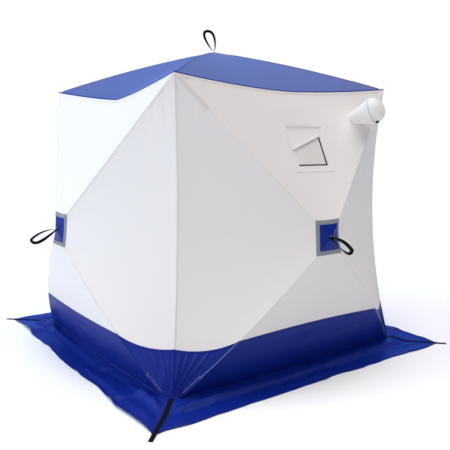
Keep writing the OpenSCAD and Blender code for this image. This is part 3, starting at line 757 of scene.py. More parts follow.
def fibreglass():
    """Drawn fibreglass rod under a clear coat, with fine streaks."""
    f = Finish("fibreglass", Coat_Weight=0.35, Coat_Roughness=0.2)
    streak = f.noise(f.place(), 240.0, 4.0)
    colour = tuple(colours().pole)
    f.colour(streak, tinted(colour, 0.6), tinted(colour, 1.7))
    f.set(Roughness=0.3 + 0.2 * streak)
    f.bump(streak, 0.0002, 0.3)
    return f.material


def clear_film():
    """Milky window film: glossy and slightly wavy."""
    f = Finish("window_film", Coat_Weight=0.5, Coat_Roughness=0.12, Specular=0.5)
    spot = f.place()
    wave, haze = f.noise(spot, 16.0, 1.0), f.noise(spot, 7.0, 3.0)
    colour = tuple(colours().film)
    f.colour(haze, tinted(colour, 0.9), tinted(colour, 1.05))
    f.set(Roughness=0.28 + 0.15 * haze)
    f.bump(wave, 0.004, 0.4)
    return f.material


def bright_metal():
    """Nickel plated rivet, lightly brushed."""
    f = Finish("rivet_metal", Metallic=1.0)
    brush = f.noise(f.place(), 900.0, 3.0)
    f.colour(brush, (0.62, 0.62, 0.63), (0.82, 0.82, 0.82))
    f.set(Roughness=0.22 + 0.2 * brush)
    return f.material


FINISHES = {
    "white": lambda c: woven("white_cloth", c.white, 0.66, 0.08, 0.025),
    "blue": lambda c: woven("blue_cloth", c.blue, 0.40, 0.0, 0.10, creases=0.5, gloss=0.2),
    # Roof blue made lighter than the bands' blue, partly as painted light from above
    "roof": lambda c: woven("roof_cloth", c.roof, 0.42, 0.16, 0.08, gloss=0.5),
    "grey": lambda c: woven("grey_tape", c.grey, 0.6, 0.05, 0.10, pitch=0.0024, creases=0.0),
    # The white cloth greyed as painted shade, for the front wall's raised upper pockets
    "pocket": lambda c: woven("pocket_cloth_painted_shade", c.pocket, 0.6, 0.05, 0.06, pitch=0.0024, creases=0.1),
    "thread": lambda c: woven("pale_thread", c.thread, 0.5, 0.1, 0.05, pitch=0.0005, creases=0.0),
    "white_thread": lambda c: woven(
        "white_thread", tinted(c.white, 0.82), 0.55, 0.1, 0.05, pitch=0.0005, creases=0.0
    ),
    "webbing": lambda c: webbing_finish(),
    "zip": lambda c: moulded("zip_coil", tinted(c.black, 0.6), 0.6, 0.0012, 0.12),
    "plastic": lambda c: moulded("hub_plastic", tinted(c.black, 1.6), 0.42, 0.0009),
    "pole": lambda c: fibreglass(),
    "film": lambda c: clear_film(),
    "metal": lambda c: bright_metal(),
}
_made = {}


def finish(name):
    """A finish by name, made once."""
    if name not in _made:
        _made[name] = FINISHES[name](colours())
    return _made[name]


# Pieces

# Wall cloth: points along an edge, in a corner's fan, and from the outline to the hub
WALL_STEPS = (90, 16, 72)
# Cells of a wall's slow waves, and of the small waves on them
WAVE_CELL, RIPPLE_CELL = 0.34, 0.13
# Depth and reach of a wall's folds under the top corners, and of its creases round the hub
FOLD_DEPTH, FOLD_REACH = 0.0080, 0.17
STAR_DEPTH, STAR_REACH = 0.0016, 0.20
# Distance from an opening over which the waves fade
OPENING_FADE = 0.06
# Gap between pieces that are sewn or clamped together
FIT = 0.0003
# Angles in degrees above which faces meet in an edge: taut cloth, loose cloth, webbing and zips
TAUT, LOOSE, STRAP, COIL = 24, 26, 40, 50
UP = np.array([0.0, 0.0, 1.0])


def wall_slack(points, across, f, seed):
    """How far a wall's cloth stands out of its panel: slow waves, creases that spread from the hub, and
    fine upright folds under the top corners, fading to nothing at the panel's seams."""
    z = sizes()
    free = np.clip(4 * across * (1 - across), 0, 1) ** 0.6 * faded(f, 0.14, 0.16)
    waves = z.slack * (ripples(points, WAVE_CELL, seed) + 0.35 * ripples(points, RIPPLE_CELL, seed + 3))
    top_corner = np.array([z.top_side / 2, z.top_side / 2, z.corner_height])
    corner = np.linalg.norm(np.abs(points) - top_corner, axis=-1)
    upright = points / np.array([0.016, 0.6, 0.5])
    folds = FOLD_DEPTH * np.exp(-corner / FOLD_REACH) * ripples(upright, 1.0, seed + 5)
    folds = folds * faded(f, 0.025, 0.16) * faded(across, 0.03, 0.03)
    hub = np.linalg.norm(points - np.array([0, -z.hub_reach, z.hub_height]), axis=-1)
    bearing = np.arctan2(points[..., 2] - z.hub_height, points[..., 0])
    spokes = np.stack([bearing * 7, hub * 3, hub * 0], axis=-1)
    star = STAR_DEPTH * np.exp(-hub / STAR_REACH) * ripples(spokes, 1.0, seed + 9)
    return free * (waves + star) + folds


def opened(points, faces, away, step_to):
    """Cuts a grid along the line where away is 0, keeping what is above 0. Faces are dropped by their
    middles, and the points between dropped and kept faces move onto the line."""
    keep = away[faces].mean(axis=1) > 0
    edge = np.intersect1d(faces[keep], faces[~keep])
    points = points.copy()
    points[edge] = step_to(edge)
    return points, faces[keep]


class WindowPlace:
    """The window's place on the front wall's top panel: x to the right, y up the slope."""

    panel, s, t = 2, 0.469, 0.42

    def __init__(self, cube):
        """The panel's point at the window's middle, and the directions out, level and up there."""
        self.cube = cube
        s, t = np.array(self.s), np.array(self.t)
        self.origin = cube.panel(self.panel, s, t, "front")
        self.out = cube.normal(self.panel, s, t, "front")
        self.level = unit(np.cross([0, 0, 1], self.out))
        self.up = np.cross(self.out, self.level)

    def flat(self, points):
        """Coordinates of points in the window's plane."""
        return (points - self.origin) @ self.level, (points - self.origin) @ self.up

    def uv(self, points):
        """The same coordinates, side by side for each point."""
        return np.stack(self.flat(points), axis=1)

    def laid(self, x, y, lift=0.0):
        """Points on the panel, or lifted off it, and the panel's normals there."""
        plane = self.origin + np.asarray(x)[..., None] * self.level + np.asarray(y)[..., None] * self.up
        return self.cube.laid(self.panel, plane[..., 0], plane[..., 2], "front", lift)


class VentPlace(WindowPlace):
    """The vent hood's place near the right end of the same panel."""

    s, t = 0.136, 0.21


class DoorPlace:
    """The door's place on the left wall's rear panel, seen square on: x to the right, y the height."""

    panel, wall = 3, "left"
    edge_gap, sill_gap = 0.085, 0.040

    def __init__(self, cube):
        """Keeps the cube whose panel the door lies on."""
        self.cube = cube

    def flat(self, points):
        """Coordinates of points seen square on."""
        return points[:, 0], points[:, 2]

    def laid(self, x, y, lift=0.0):
        """Points on the panel, or lifted off it, and the panel's normals there."""
        return self.cube.laid(self.panel, x, y, self.wall, lift)


def door_corners():
    """Middles of the door's three rounded corners, seen square on: foot, head and point."""
    z = sizes()
    r = z.door_corner_r
    edge = -z.top_side / 2 + DoorPlace.edge_gap + r
    sill, head = z.band_height + DoorPlace.sill_gap, mix(z.hub_height, z.corner_height, z.door_head)
    return np.array([(edge, sill + r), (edge, head - r), (edge + z.door_w - 2 * r, z.hub_height)])


def square_to(a, b):
    """Direction square to the line from a to b, a quarter turn anticlockwise."""
    return np.array([-(b - a)[1], (b - a)[0]]) / np.linalg.norm(b - a)


def door_outline(inset, arc_steps=10, side_steps=40):
    """The door's outline, moved in by an inset: three arcs joined by straight sides, clockwise."""
    middles, r = door_corners(), sizes().door_corner_r - inset
    runs = []
    for k in range(3):
        before, here, after = middles[k - 1], middles[k], middles[(k + 1) % 3]
        start, end = square_to(before, here), square_to(here, after)
        a0, a1 = math.atan2(start[1], start[0]), math.atan2(end[1], end[0])
        a1 -= 2 * math.pi * math.ceil((a1 - a0) / (2 * math.pi))
        turn = np.linspace(a0, a1, arc_steps)
        runs.append(here + r * np.stack([np.cos(turn), np.sin(turn)], axis=1))
        runs.append(np.linspace(here + r * end, after + r * end, side_steps + 1)[1:-1])
    return np.vstack(runs)


def window_away(x, y):
    """Distance outside the window's opening: below 0 inside it."""
    z = sizes()
    return np.maximum(np.abs(x) - z.window_w / 2, np.abs(y) - z.window_h / 2)


def vent_away(x, y):
    """Distance outside the vent's air hole, whose radius is three tenths of the hood's foot."""
    return np.hypot(x, y) - sizes().vent_tip_d * 0.3


def door_away(x, y):
    """Distance outside the door's outline, seen square on."""
    return outline_distance(x, y, door_outline(0.0))


OPENINGS = {
    "front": ((WindowPlace, window_away), (VentPlace, vent_away)),
    "left": ((DoorPlace, door_away),),
}


def slope_of(away_of, x, y, step=1e-4):
    """Direction in which a distance grows."""
    gx = away_of(x + step, y) - away_of(x - step, y)
    gy = away_of(x, y + step) - away_of(x, y - step)
    size = np.maximum(np.hypot(gx, gy), 1e-12)
    return gx / size, gy / size


def snap(x, y, away_of, place, target=0.0):
    """Gives a function that moves points onto the line where a distance has the target's value."""

    def step_to(edge):
        """The chosen points, moved along the distance's slope and laid on the panel."""
        ex, ey = x[edge], y[edge]
        gx, gy = slope_of(away_of, ex, ey)
        away = away_of(ex, ey) - target
        return place.laid(ex - away * gx, ey - away * gy)[0]

    return step_to


def cloth_piece(cube, name, points, faces, wall, look, node, sharp=TAUT):
    """A closed sheet of cloth that stands for a CAD node: these points outside, and inside the same
    points drawn in by the cloth's thickness, turned to their wall."""
    points, faces = shell(points, cube.drawn_in(points, sizes().cloth), faces)
    points = turned(points, wall) if wall else points
    return put(name, points, faces, finish(look), f"{look}_cloth", plan_uv(points, wall), [node], sharp)


def make_wall(cube, wall):
    """A wall's white cloth, from its outline above the band to the hub's border."""
    grid, panels, across, f = cube.wall_grid(wall, *WALL_STEPS)
    columns = panels.shape[1]
    faces = grid_faces(*panels.shape, True)
    plain = grid.reshape(-1, 3)
    slack = wall_slack(grid, across, f, 1 + WALLS.index(wall)).ravel()
    cuts = []
    for place_of, away_of in OPENINGS.get(wall, ()):
        place = place_of(cube)
        x, y = place.flat(plain)
        away = np.where(panels.ravel() == place.panel, away_of(x, y), 1.0)
        slack = slack * ease(np.abs(away) / OPENING_FADE)
        cuts.append((away, snap(x, y, away_of, place)))
    points = cube.drawn_in(plain, -slack)
    for away, step_to in cuts:
        points, faces = opened(points, faces, away, step_to)
    edge_steps, fan_steps, _ = WALL_STEPS
    middle = edge_steps // 2
    up_the_middle = np.r_[grid[:, middle], grid[::-1, middle + columns // 2]]
    along_the_foot = np.roll(grid[0], fan_steps, axis=0)[: edge_steps + 2 * fan_steps + 1]
    size, area = cut_size(plain, faces, along_the_foot, up_the_middle)
    points, faces = only_used(points, faces)
    piece = cloth_piece(cube, f"{wall}_wall_cloth", points, faces, wall, "white", f"{wall}_wall")


# Places of the pleats across a band's corner fan, from the corner edge (0) to the pole (1), and their width
PLEATS, PLEAT_WIDTH = np.array([0.11, 0.23, 0.38, 0.55]), 0.030
# Height of the pleats on the walls that aren't the front, as a share
SIDE_PLEATS = 0.4
# Depth and reach of a band's creases beside the corners, and depths of its sagging folds and small waves
CREASE_DEPTH, CREASE_REACH = 0.0065, 0.16
SAG_DEPTH, SMALL_WAVE, SMALL_CELL = 0.0045, 0.0025, 0.11


def make_band(cube, wall, columns=96, fan=60, rows=34):
    """A wall's lower band: the foot of the wall up to the band's height, with a fan at each corner, where
    pleats, bell curves across the fan, spread from the foot of the corner. It lies still along the poles."""
    z, seed = sizes(), 20 + WALLS.index(wall)
    rise = np.linspace(0, 1, rows + 1)
    grid = cube.band_grid(wall, rise, columns, fan)
    f = rise[:, None]
    k, part = np.arange(columns + 1) / columns, np.arange(fan) / fan
    later = np.arange(1, fan + 1) / fan
    fans = [np.minimum(share, 1 - share) * 3 for share in (part, later)]
    from_seam = np.r_[fans[0], np.minimum(k, 1 - k) * 12, fans[1]]
    free = ease((f - 0.10) / 0.2) * ease((1 - f) / 0.22) * ease(from_seam)
    across = np.r_[part, np.full(columns + 1, 2.0), 1 - later][:, None]
    bells = np.exp(-(((across - PLEATS) / PLEAT_WIDTH) ** 2)).sum(axis=1)
    height = z.pleat * (1.0 if wall == "front" else SIDE_PLEATS)
    bells = height * bells * ease((f - 0.10) / 0.25) * ease((1 - f) / 0.14)
    corner = np.abs(np.abs(grid[..., 0]) - z.base_side / 2)
    upright, level = grid / np.array([0.030, 0.5, 0.55]), grid / np.array([0.32, 0.5, 0.09])
    creases = CREASE_DEPTH * np.exp(-corner / CREASE_REACH) * ripples(upright, 1.0, seed)
    sag = SAG_DEPTH * ripples(level, 1.0, seed + 7) + SMALL_WAVE * ripples(grid, SMALL_CELL, seed + 9)
    faces = grid_faces(*grid.shape[:2])
    size, area = cut_size(grid.reshape(-1, 3), faces, grid[rows // 2], grid[:, grid.shape[1] // 2])
    points = cube.drawn_in(grid, -(free * (creases + sag) + bells)).reshape(-1, 3)
    points, faces, _ = weld(points, faces)
    piece = cloth_piece(cube, f"{wall}_band_cloth", points, faces, wall, "blue", f"{wall}_band", LOOSE)


# Share of a skirt over which it slopes down to the ice
SKIRT_SLOPE = 0.45
# Depths of the wander of a skirt's edge, each with its cell
WANDER = ((0.020, 0.26), (0.010, 0.08))
# Shares of the fold's height in the folds along a skirt and in those across it
LONG_FOLDS, CROSS_FOLDS = 0.7, 0.55
# Turn of the folds across a skirt
ASKEW = np.array([[0.9, 0.5, 0], [-0.5, 0.9, 0], [0, 0, 1]])
# Place and width of the roll along a skirt, its height on the front and the height of the left skirt's folds
ROLL_PLACE, ROLL_WIDTH, FRONT_ROLL, LEFT_FOLDS = 0.30, 0.11, 0.45, 1.4


def skirt_height(v):
    """Height of the skirt's underside, a share v of the way from its seam to its outer edge."""
    return sizes().skirt_seam * (1 - ease(v / SKIRT_SLOPE))


def raised(points, seed):
    """The hills of the smooth random heights, from 0 to 1, with the valleys level."""
    return np.clip(ripples(points, 1.0, seed), 0, 1)


def skirt_grid(cube, wall, v, columns=150):
    """Underside of a skirt at shares v of the way from its seam to its outer edge, laid flat, and the
    same with its shallow folds and wandering edge."""
    z, v, seed = sizes(), np.asarray(v)[:, None], 40 + WALLS.index(wall)
    k = np.arange(columns + 1) / columns
    foot = cube.panel(0, k, np.full(columns + 1, cube.seam_t), wall)
    seam = np.concatenate([cube.seam_corner(3, wall), foot, cube.seam_corner(1, wall)])
    seam = cube.drawn_in(seam, -FIT)
    reach, count = z.base_side / 2 + z.skirt_w, len(seam)
    span = np.linspace(-1, 1, count)
    outer = np.stack([reach * span, np.full(count, -reach), np.zeros(count)], axis=1)
    plain = mix(seam, outer, v[..., None])
    mid = ease((1 - np.abs(span)) / 0.10)
    x = plain[..., 0]
    line = np.stack([x, x * 0, x * 0], axis=-1)
    wander = sum(depth * ripples(line, cell, seed + n) for n, (depth, cell) in enumerate(WANDER))
    grid = plain.copy()
    grid[..., 1] += wander * mid * v**2
    folds = LONG_FOLDS * raised(plain / np.array([0.42, 0.045, 1.0]), seed + 2)
    folds = folds + CROSS_FOLDS * raised((plain @ ASKEW) / np.array([0.07, 0.5, 1.0]), seed + 4)
    roll = np.exp(-(((v - ROLL_PLACE) / ROLL_WIDTH) ** 2)) * (FRONT_ROLL if wall == "front" else 1.0)
    folds = folds + roll * np.clip(0.55 + 0.9 * ripples(line, 0.55, seed + 6), 0, 1)
    free = ease(v / 0.25) * mid * (LEFT_FOLDS if wall == "left" else 1.0)
    grid[..., 2] = skirt_height(v) + free * z.fold * folds
    return plain, grid


def make_skirt(cube, wall, rows=40):
    """A skirt: sewn to the band just above the ice, it slopes down and lies in shallow folds."""
    plain, grid = skirt_grid(cube, wall, np.linspace(1, 0, rows + 1))
    count = plain.shape[1]
    faces = grid_faces(rows + 1, count)
    size, area = cut_size(plain.reshape(-1, 3), faces, plain[rows // 2], plain[:, count // 2])
    lower = grid.reshape(-1, 3)
    points, faces = shell(lower + UP * sizes().cloth, lower, faces)
    points = turned(points, wall)
    name, node = f"{wall}_skirt_cloth", f"{wall}_skirt"
    piece = put(name, points, faces, finish("blue"), "blue_cloth", plan_uv(points), [node], LOOSE)


def through_middle(grid, side):
    """Path up the middle of the first of four sides of rings of points and down the opposite one. Side is
    the number of points on each."""
    return np.r_[grid[:, side // 2], grid[::-1, side // 2 + 2 * side]]


def make_roof(cube, columns=84, rows=64):
    """The roof's cloth from its four seams to the hub's border, softly waved between the poles."""
    f = np.linspace(0, 1, rows + 1)[:, None]
    s = np.arange(columns) / columns
    free = (4 * s * (1 - s)) ** 0.6 * faded(f, 0.12, 0.15)
    blocks = []
    for seed, wall in enumerate(WALLS, 60):
        part = cube.roof_panel(s, f * cube.roof_border_t, wall)
        waves = sizes().slack * (ripples(part, 0.36, seed) + 0.4 * ripples(part, 0.12, seed + 4))
        blocks.append(turned(cube.drawn_in(part, -free * waves), wall))
    grid = np.concatenate(blocks, axis=1)
    points, faces = grid.reshape(-1, 3), grid_faces(rows + 1, 4 * columns, True)
    size, area = cut_size(points, faces, grid[0, : columns + 1], through_middle(grid, columns))
    piece = cloth_piece(cube, "roof_cloth_cover", points, faces, None, "roof", "roof_cloth")


# Points along each side of a hub's patch
PATCH_STEPS = 24


def hub_rings(cube, wall):
    """The rings round a wall's hub or the roof's, with the shares where its border starts and ends."""
    if wall:
        return (lambda t: cube.hub_ring(wall, t, PATCH_STEPS)), cube.border_t, cube.patch_t
    return (lambda t: cube.roof_ring(t, PATCH_STEPS)), cube.roof_border_t, cube.roof_patch_t


def make_patch(cube, wall, rows=9, dip=0.0008):
    """A hub's square patch: rings of points from its border to the hub's flat, then to the bolt's hole."""
    z, steps, hub = sizes(), PATCH_STEPS, f"{wall or 'roof'}_hub"
    centre = np.array([0, -z.hub_reach, z.hub_height]) if wall else UP * z.peak_height
    ring, _, start = hub_rings(cube, wall)
    rings = [ring(t) for t in np.linspace(start, 1.0, rows)]
    hole = centre + (z.bolt_d / 2 + 0.001) * unit(rings[-1] - centre)
    rings += [mix(rings[-1], hole, f) for f in (0.3, 0.6, 1.0)]
    grid = np.stack(rings)
    depth = np.r_[dip * arch(np.linspace(0, 1, rows)), np.zeros(3)][:, None]
    points = cube.drawn_in(grid, depth * (1 + ripples(grid, 0.03, 3))).reshape(-1, 3)
    faces = grid_faces(len(rings), 4 * steps, True)
    size, area = cut_size(points, faces, grid[0, : steps + 1], through_middle(grid, steps))
    look = "blue" if wall else "roof"
    piece = cloth_piece(cube, f"{hub}_patch_cloth", points, faces, wall, look, f"{hub}_patch")


def make_borders(cube, rows=7):
    """The grey tapes round the five patches: a strip with a low crown, one closed ring for each."""
    z = sizes()
    parts = []
    crown = 0.0012 * arch(np.linspace(0, 1, rows), 4.0)[:, None]
    for wall in (*WALLS, None):
        ring, low, high = hub_rings(cube, wall)
        grid = np.stack([ring(t) for t in np.linspace(low, high, rows)])
        outer, inner = (cube.drawn_in(grid, depth).reshape(-1, 3) for depth in (-crown, z.cloth))
        points, faces = shell(outer, inner, grid_faces(rows, 4 * PATCH_STEPS, True))
        parts.append((turned(points, wall) if wall else points, faces))
    points, faces = joined(parts)
    x, y, height = points.T
    on_roof = height[:, None] > z.corner_height
    uv = np.where(on_roof, points[:, :2], np.stack([x + y, height], axis=1))
    piece = put("hub_border_tapes", points, faces, finish("grey"), "grey_cloth", uv, ["hub_borders"], TAUT)


def bezier(c, t):
    """Cubic Bezier curve: four control points weighted by powers of t and 1 - t."""
    c, t = np.asarray(c, float), t[:, None]
    return (1 - t) ** 3 * c[0] + 3 * t * (1 - t) ** 2 * c[1] + 3 * t * t * (1 - t) * c[2] + t**3 * c[3]


def strap(path, side, width, thickness, twist=0.0):
    """Flat strap along a path in a plane, its width along the plane's normal, turned about the path by
    a twist that grows from both ends to the middle as a sine. Gives points, faces and UV lengths."""
    along, run = unit(np.gradient(path, axis=0)), run_along(path)
    turn = (twist * np.sin(math.pi * run / run[-1]))[:, None]
    across = np.broadcast_to(unit(np.asarray(side, float)), path.shape)
    across = np.cos(turn) * across + np.sin(turn) * np.cross(along, across)
    profile = flat_profile(width, thickness)
    points, faces = carry(profile, path, across, unit(np.cross(across, along)))
    uv = np.stack([np.repeat(run, len(profile)), np.tile(profile[:, 0], len(path))], axis=1)
    return points, faces, np.vstack([uv, [[0, 0], [run[-1], 0]]])


# Twist of the pull loops, and the turn of the roof's loop about the upright axis
LOOP_TWIST, ROOF_LOOP_TURN = math.radians(62), math.radians(-36)


def loop_path(wall, steps=33):
    """Middle line of a pull loop, in the plane that holds it: out along one curve and back along another,
    whose control points are shares of the loop's reach and drop, or of the roof loop's height."""
    z = sizes()
    root, gap = z.webbing + 3 * FIT, z.webbing * 0.75
    if wall:
        reach, drop = z.loop_reach, z.loop_drop
        tip = (reach, -drop)
        out = [(root, gap), (reach * 0.45, gap * 3), (reach * 0.8, -drop * 0.4), tip]
        home = [tip, (reach * 0.9, -drop * 1.9), (reach * 0.55, -drop * 1.3), (root, -gap)]
    else:
        h = z.roof_loop_height
        tip = (-h * 0.3, h - z.webbing)
        out = [(gap, root), (h * 0.1, h * 0.4), (h * 0.05, h), tip]
        home = [tip, (-h * 0.62, h), (-h * 0.45, h * 0.55), (-gap, root)]
    t = np.linspace(0, 1, steps)
    return np.vstack([bezier(out, t), bezier(home, t)[1:]])


def make_loop(wall):
    """A pull loop of webbing from the hub's washer out and back to it."""
    z, flat = sizes(), loop_path(wall)
    if wall:
        path = np.stack([0 * flat[:, 0], -z.hub_reach - flat[:, 0], z.hub_height + flat[:, 1]], axis=1)
        path, side = turned(path, wall), turned(np.array([1.0, 0, 0]), wall)
    else:
        lie = np.array([math.cos(ROOF_LOOP_TURN), math.sin(ROOF_LOOP_TURN), 0.0])
        path = flat[:, :1] * lie + UP * (z.peak_height + flat[:, 1:])
        side = np.array([-lie[1], lie[0], 0.0])
    points, faces, uv = strap(path, side, z.loop_w, z.webbing, LOOP_TWIST)
    name = f"{wall or 'roof'}_pull_loop"
    put(f"{name}_webbing", points, faces, finish("webbing"), "webbing", uv, [name], STRAP)


def make_corner_straps(cube, steps=40):
    """Webbing down the mitre of each skirt corner, over its edge and onto the ice."""
    z = sizes()
    lift, half = z.cloth + FIT + z.webbing / 2, z.webbing / 2
    corner = cube.drawn_in(cube.seam_corner(3, "front"), -FIT)[0]
    root, tip = math.hypot(corner[0], corner[1]) + z.webbing, (z.base_side / 2 + z.skirt_w) * math.sqrt(2)
    v = np.linspace(0, 1, steps)
    beyond = np.array([0.002, 0.004, 0.010, z.strap_tail * 0.6, z.strap_tail])
    run = np.r_[mix(root, tip, v), tip + beyond]
    rise = np.r_[skirt_height(v) + lift, lift * 0.9, lift * 0.6, z.webbing * 0.6, half + 0.001, half]
    parts, uvs = [], []
    for wall in WALLS:
        lie = turned(np.array([-1.0, -1.0, 0.0]) / math.sqrt(2), wall)
        path = run[:, None] * lie + rise[:, None] * UP
        points, faces, uv = strap(path, np.cross(UP, lie), z.strap_w, z.webbing)
        parts.append((points, faces))
        uvs.append(uv)
    points, faces = joined(parts)
    uv = np.vstack(uvs)
    put("corner_strap_webbing", points, faces, finish("webbing"), "webbing", uv, ["corner_straps"], STRAP)


# Shares of a pole line at which the pole's tip lies and at which its hub grips it
POLE_TIP, POLE_GRIP = 0.05, 0.97
# Thickness of a sleeve's closed end, and how far its cloth puckers
SLEEVE_CAP, SLEEVE_PUCKER = 0.003, 0.05


def make_sleeves(cube, node, lines, look, sides=18, rows=36):
    """Cloth sleeves round the pole tips: a tube along the pole, closed at its tip and a little puckered."""
    z = sizes()
    bore = z.pole_d / 2 + FIT
    outside = bore + z.sleeve_wall
    turn = angles(sides)
    parts, uvs = [], []
    for line, bow, wall in lines:
        tip, root = (cube.drawn_in(line(np.array(t)), z.pole_inset) for t in (POLE_TIP, POLE_GRIP))
        along, span = unit(root - tip), np.linalg.norm(root - tip)
        side = unit(np.cross(along, [0.3, 0.2, 0.9]))
        ring = round_about(turn, side, np.cross(along, side))
        layers = []
        for start, radius, pucker in ((-SLEEVE_CAP, outside, SLEEVE_PUCKER), (-FIT, bore, 0.0)):
            run = np.r_[start, np.linspace(start, z.sleeve_length, rows)]
            w = (run / span)[:, None]
            middle = mix(tip, root, w) + arch(w) * np.asarray(bow) * (POLE_GRIP - POLE_TIP) ** 2
            spot = np.stack(np.broadcast_arrays(run[:, None] * 60, turn * 2, 0 * turn), axis=-1)
            grow = np.r_[0.0, np.ones(rows)][:, None] * (1 - pucker * ease(ripples(spot, 1.0, 3)))
            layers.append((middle[:, None] + radius * grow[..., None] * ring).reshape(-1, 3))
        outer, faces, first = weld(layers[0], grid_faces(rows + 1, sides, True), CLOSE)
        points, faces = shell(outer, layers[1][first], faces)
        parts.append((turned(points, wall), faces))
        flat = np.stack(np.broadcast_arrays(run[:, None], turn * outside), axis=-1).reshape(-1, 2)[first]
        uvs += [flat, flat]
    points, faces = joined(parts)
    uv = np.vstack(uvs)
    piece = put(f"{node}_cloth", points, faces, finish(look), f"{look}_cloth", uv, [node], STRAP)


def strip(cube, grid, lift, crown):
    """Thin strip on the cloth: its back just off the cloth, its face lifted and crowned across."""
    w = np.linspace(-1, 1, grid.shape[1])
    face = cube.drawn_in(grid, -(lift + crown * (1 - w**4)))
    points, faces = sheet_between(face, cube.drawn_in(grid, -FIT))
    return points, faces, face


def strip_shares(start, end, rows, columns):
    """Shares of the way along a strip, and places from -1 to 1 across it, as a column and a row."""
    return np.linspace(start, end, rows + 1)[:, None], np.linspace(-1, 1, columns)[None]


def gap_between(one, other):
    """Distances between two lines of points, as a column."""
    return np.linalg.norm(one - other, axis=-1)[:, None]


def over_pole(cube, i, wall, start, end, half, rows=40, columns=9, round_end=0.0):
    """Grid that lies over a wall's pole line i from share start to share end, half as wide on each panel.
    A round end narrows as a circle over that share."""
    t, w = strip_shares(start, end, rows, columns)
    width = half * np.ones_like(t)
    if round_end:
        over = np.clip((t - end + round_end) / round_end, 0, 1)
        width = half * np.sqrt(np.clip(1 - over**2, 0.04, 1))
    before, after = (i - 1) % 4, (i + 1) % 4
    here = cube.pole_line(i, t[:, 0])
    back, ahead = (gap_between(cube.pole_line(j, t[:, 0]), here) for j in (before, after))
    right = cube.panel(i, np.clip(w, 0, 1) * width / ahead, t, wall)
    left = cube.panel(before, 1 + np.clip(w, -1, 0) * width / back, t, wall)
    return np.where((w >= 0)[..., None], right, left)


def next_wall(wall):
    """The wall to the right of a wall."""
    return WALLS[(WALLS.index(wall) + 1) % 4]


def over_roof_pole(cube, wall, start, end, half, rows=40, columns=9):
    """Grid that lies over the roof's pole line at a wall's right corner."""
    t, w = strip_shares(start, end, rows, columns)
    span = gap_between(cube.roof_line(1, t[:, 0]), cube.roof_line(-1, t[:, 0]))
    left = cube.roof_panel(1 + np.clip(w, -1, 0) * half / span, t, wall)
    right = turned(cube.roof_panel(np.clip(w, 0, 1) * half / span, t, next_wall(wall)), "right")
    return np.where((w >= 0)[..., None], right, left)


def over_corner(cube, wall, start, end, half, rows=70, columns=9):
    """Grid that lies over the corner edge at a wall's right, half as wide on each of the two walls."""
    s, w = strip_shares(start, end, rows, columns)
    left = cube.panel(1, s, -np.clip(w, -1, 0) * half / cube.half_base, wall)
    right = cube.panel(3, 1 - s, np.clip(w, 0, 1) * half / cube.half_base, next_wall(wall))
    return np.where((w >= 0)[..., None], turned(right, "right"), left)


class Sewing:
    """Gathers strips and rows of stitches, and puts each gathering down as one piece."""

    def __init__(self, cube):
        """Starts with nothing gathered."""
        self.cube, self.parts = cube, {}

    def add(self, key, points, faces, wall):
        """Adds a mesh of the front wall to a gathering, turned to its wall."""
        self.parts.setdefault(key, []).append((turned(points, wall), faces))

    def strip(self, key, grid, wall, lift, crown, rows=(), thread=None):
        """A strip, with rows of stitches along some of its columns."""
        points, faces, face = strip(self.cube, grid, lift, crown)
        self.add(key, points, faces, wall)
        normals = grid_normals(face)
        for column in rows:
            self.row(thread, face[:, column], normals[:, column], wall)
        return face, normals

    def row(self, key, path, normal, wall):
        """A row of stitches along a path, on the side that faces away from the middle of the shelter."""
        outward = np.sign((normal * (path - np.array([0, 0, 0.8]))).sum())
        points, faces = stitches(path, normal * outward, sizes().stitch)
        if len(points):
            self.add(key, points, faces, wall)

    def put(self, key, name, look, slot, sharp=30):
        """A gathering as one piece."""
        points, faces = joined(self.parts[key])
        x, y, height = points.T
        uv = np.stack([x + 0.6 * y, height + 0.4 * y], axis=1)
        return put(name, points, faces, finish(look), slot, uv, (), sharp)


# Shares of the pole lines at which the upper, lower and roof pockets start, and where the roof's end
POCKET_START, LOW_POCKET_START, ROOF_POCKET_START, ROOF_POCKET_END = 0.012, 0.060, 0.03, 0.19
# Columns of a wide strip and of a narrow one that carry stitches
WIDE_ROWS, NARROW_ROWS = (1, 11), (1, 7)
# Width of a pocket square to its pole for each width along the panels, and of a roof pocket for a wall's
SLANT, ROOF_POCKET_WIDTH = 0.78, 0.8
# Flat length of a roof pocket, and flat size of a top corner's patch
ROOF_POCKET_LENGTH, CORNER_PATCH = 0.187, (0.065, 0.075)


def pole_span(cube, i):
    """Straight length of a wall's pole line i."""
    return np.linalg.norm(cube.flats[i] - cube.corners[i])


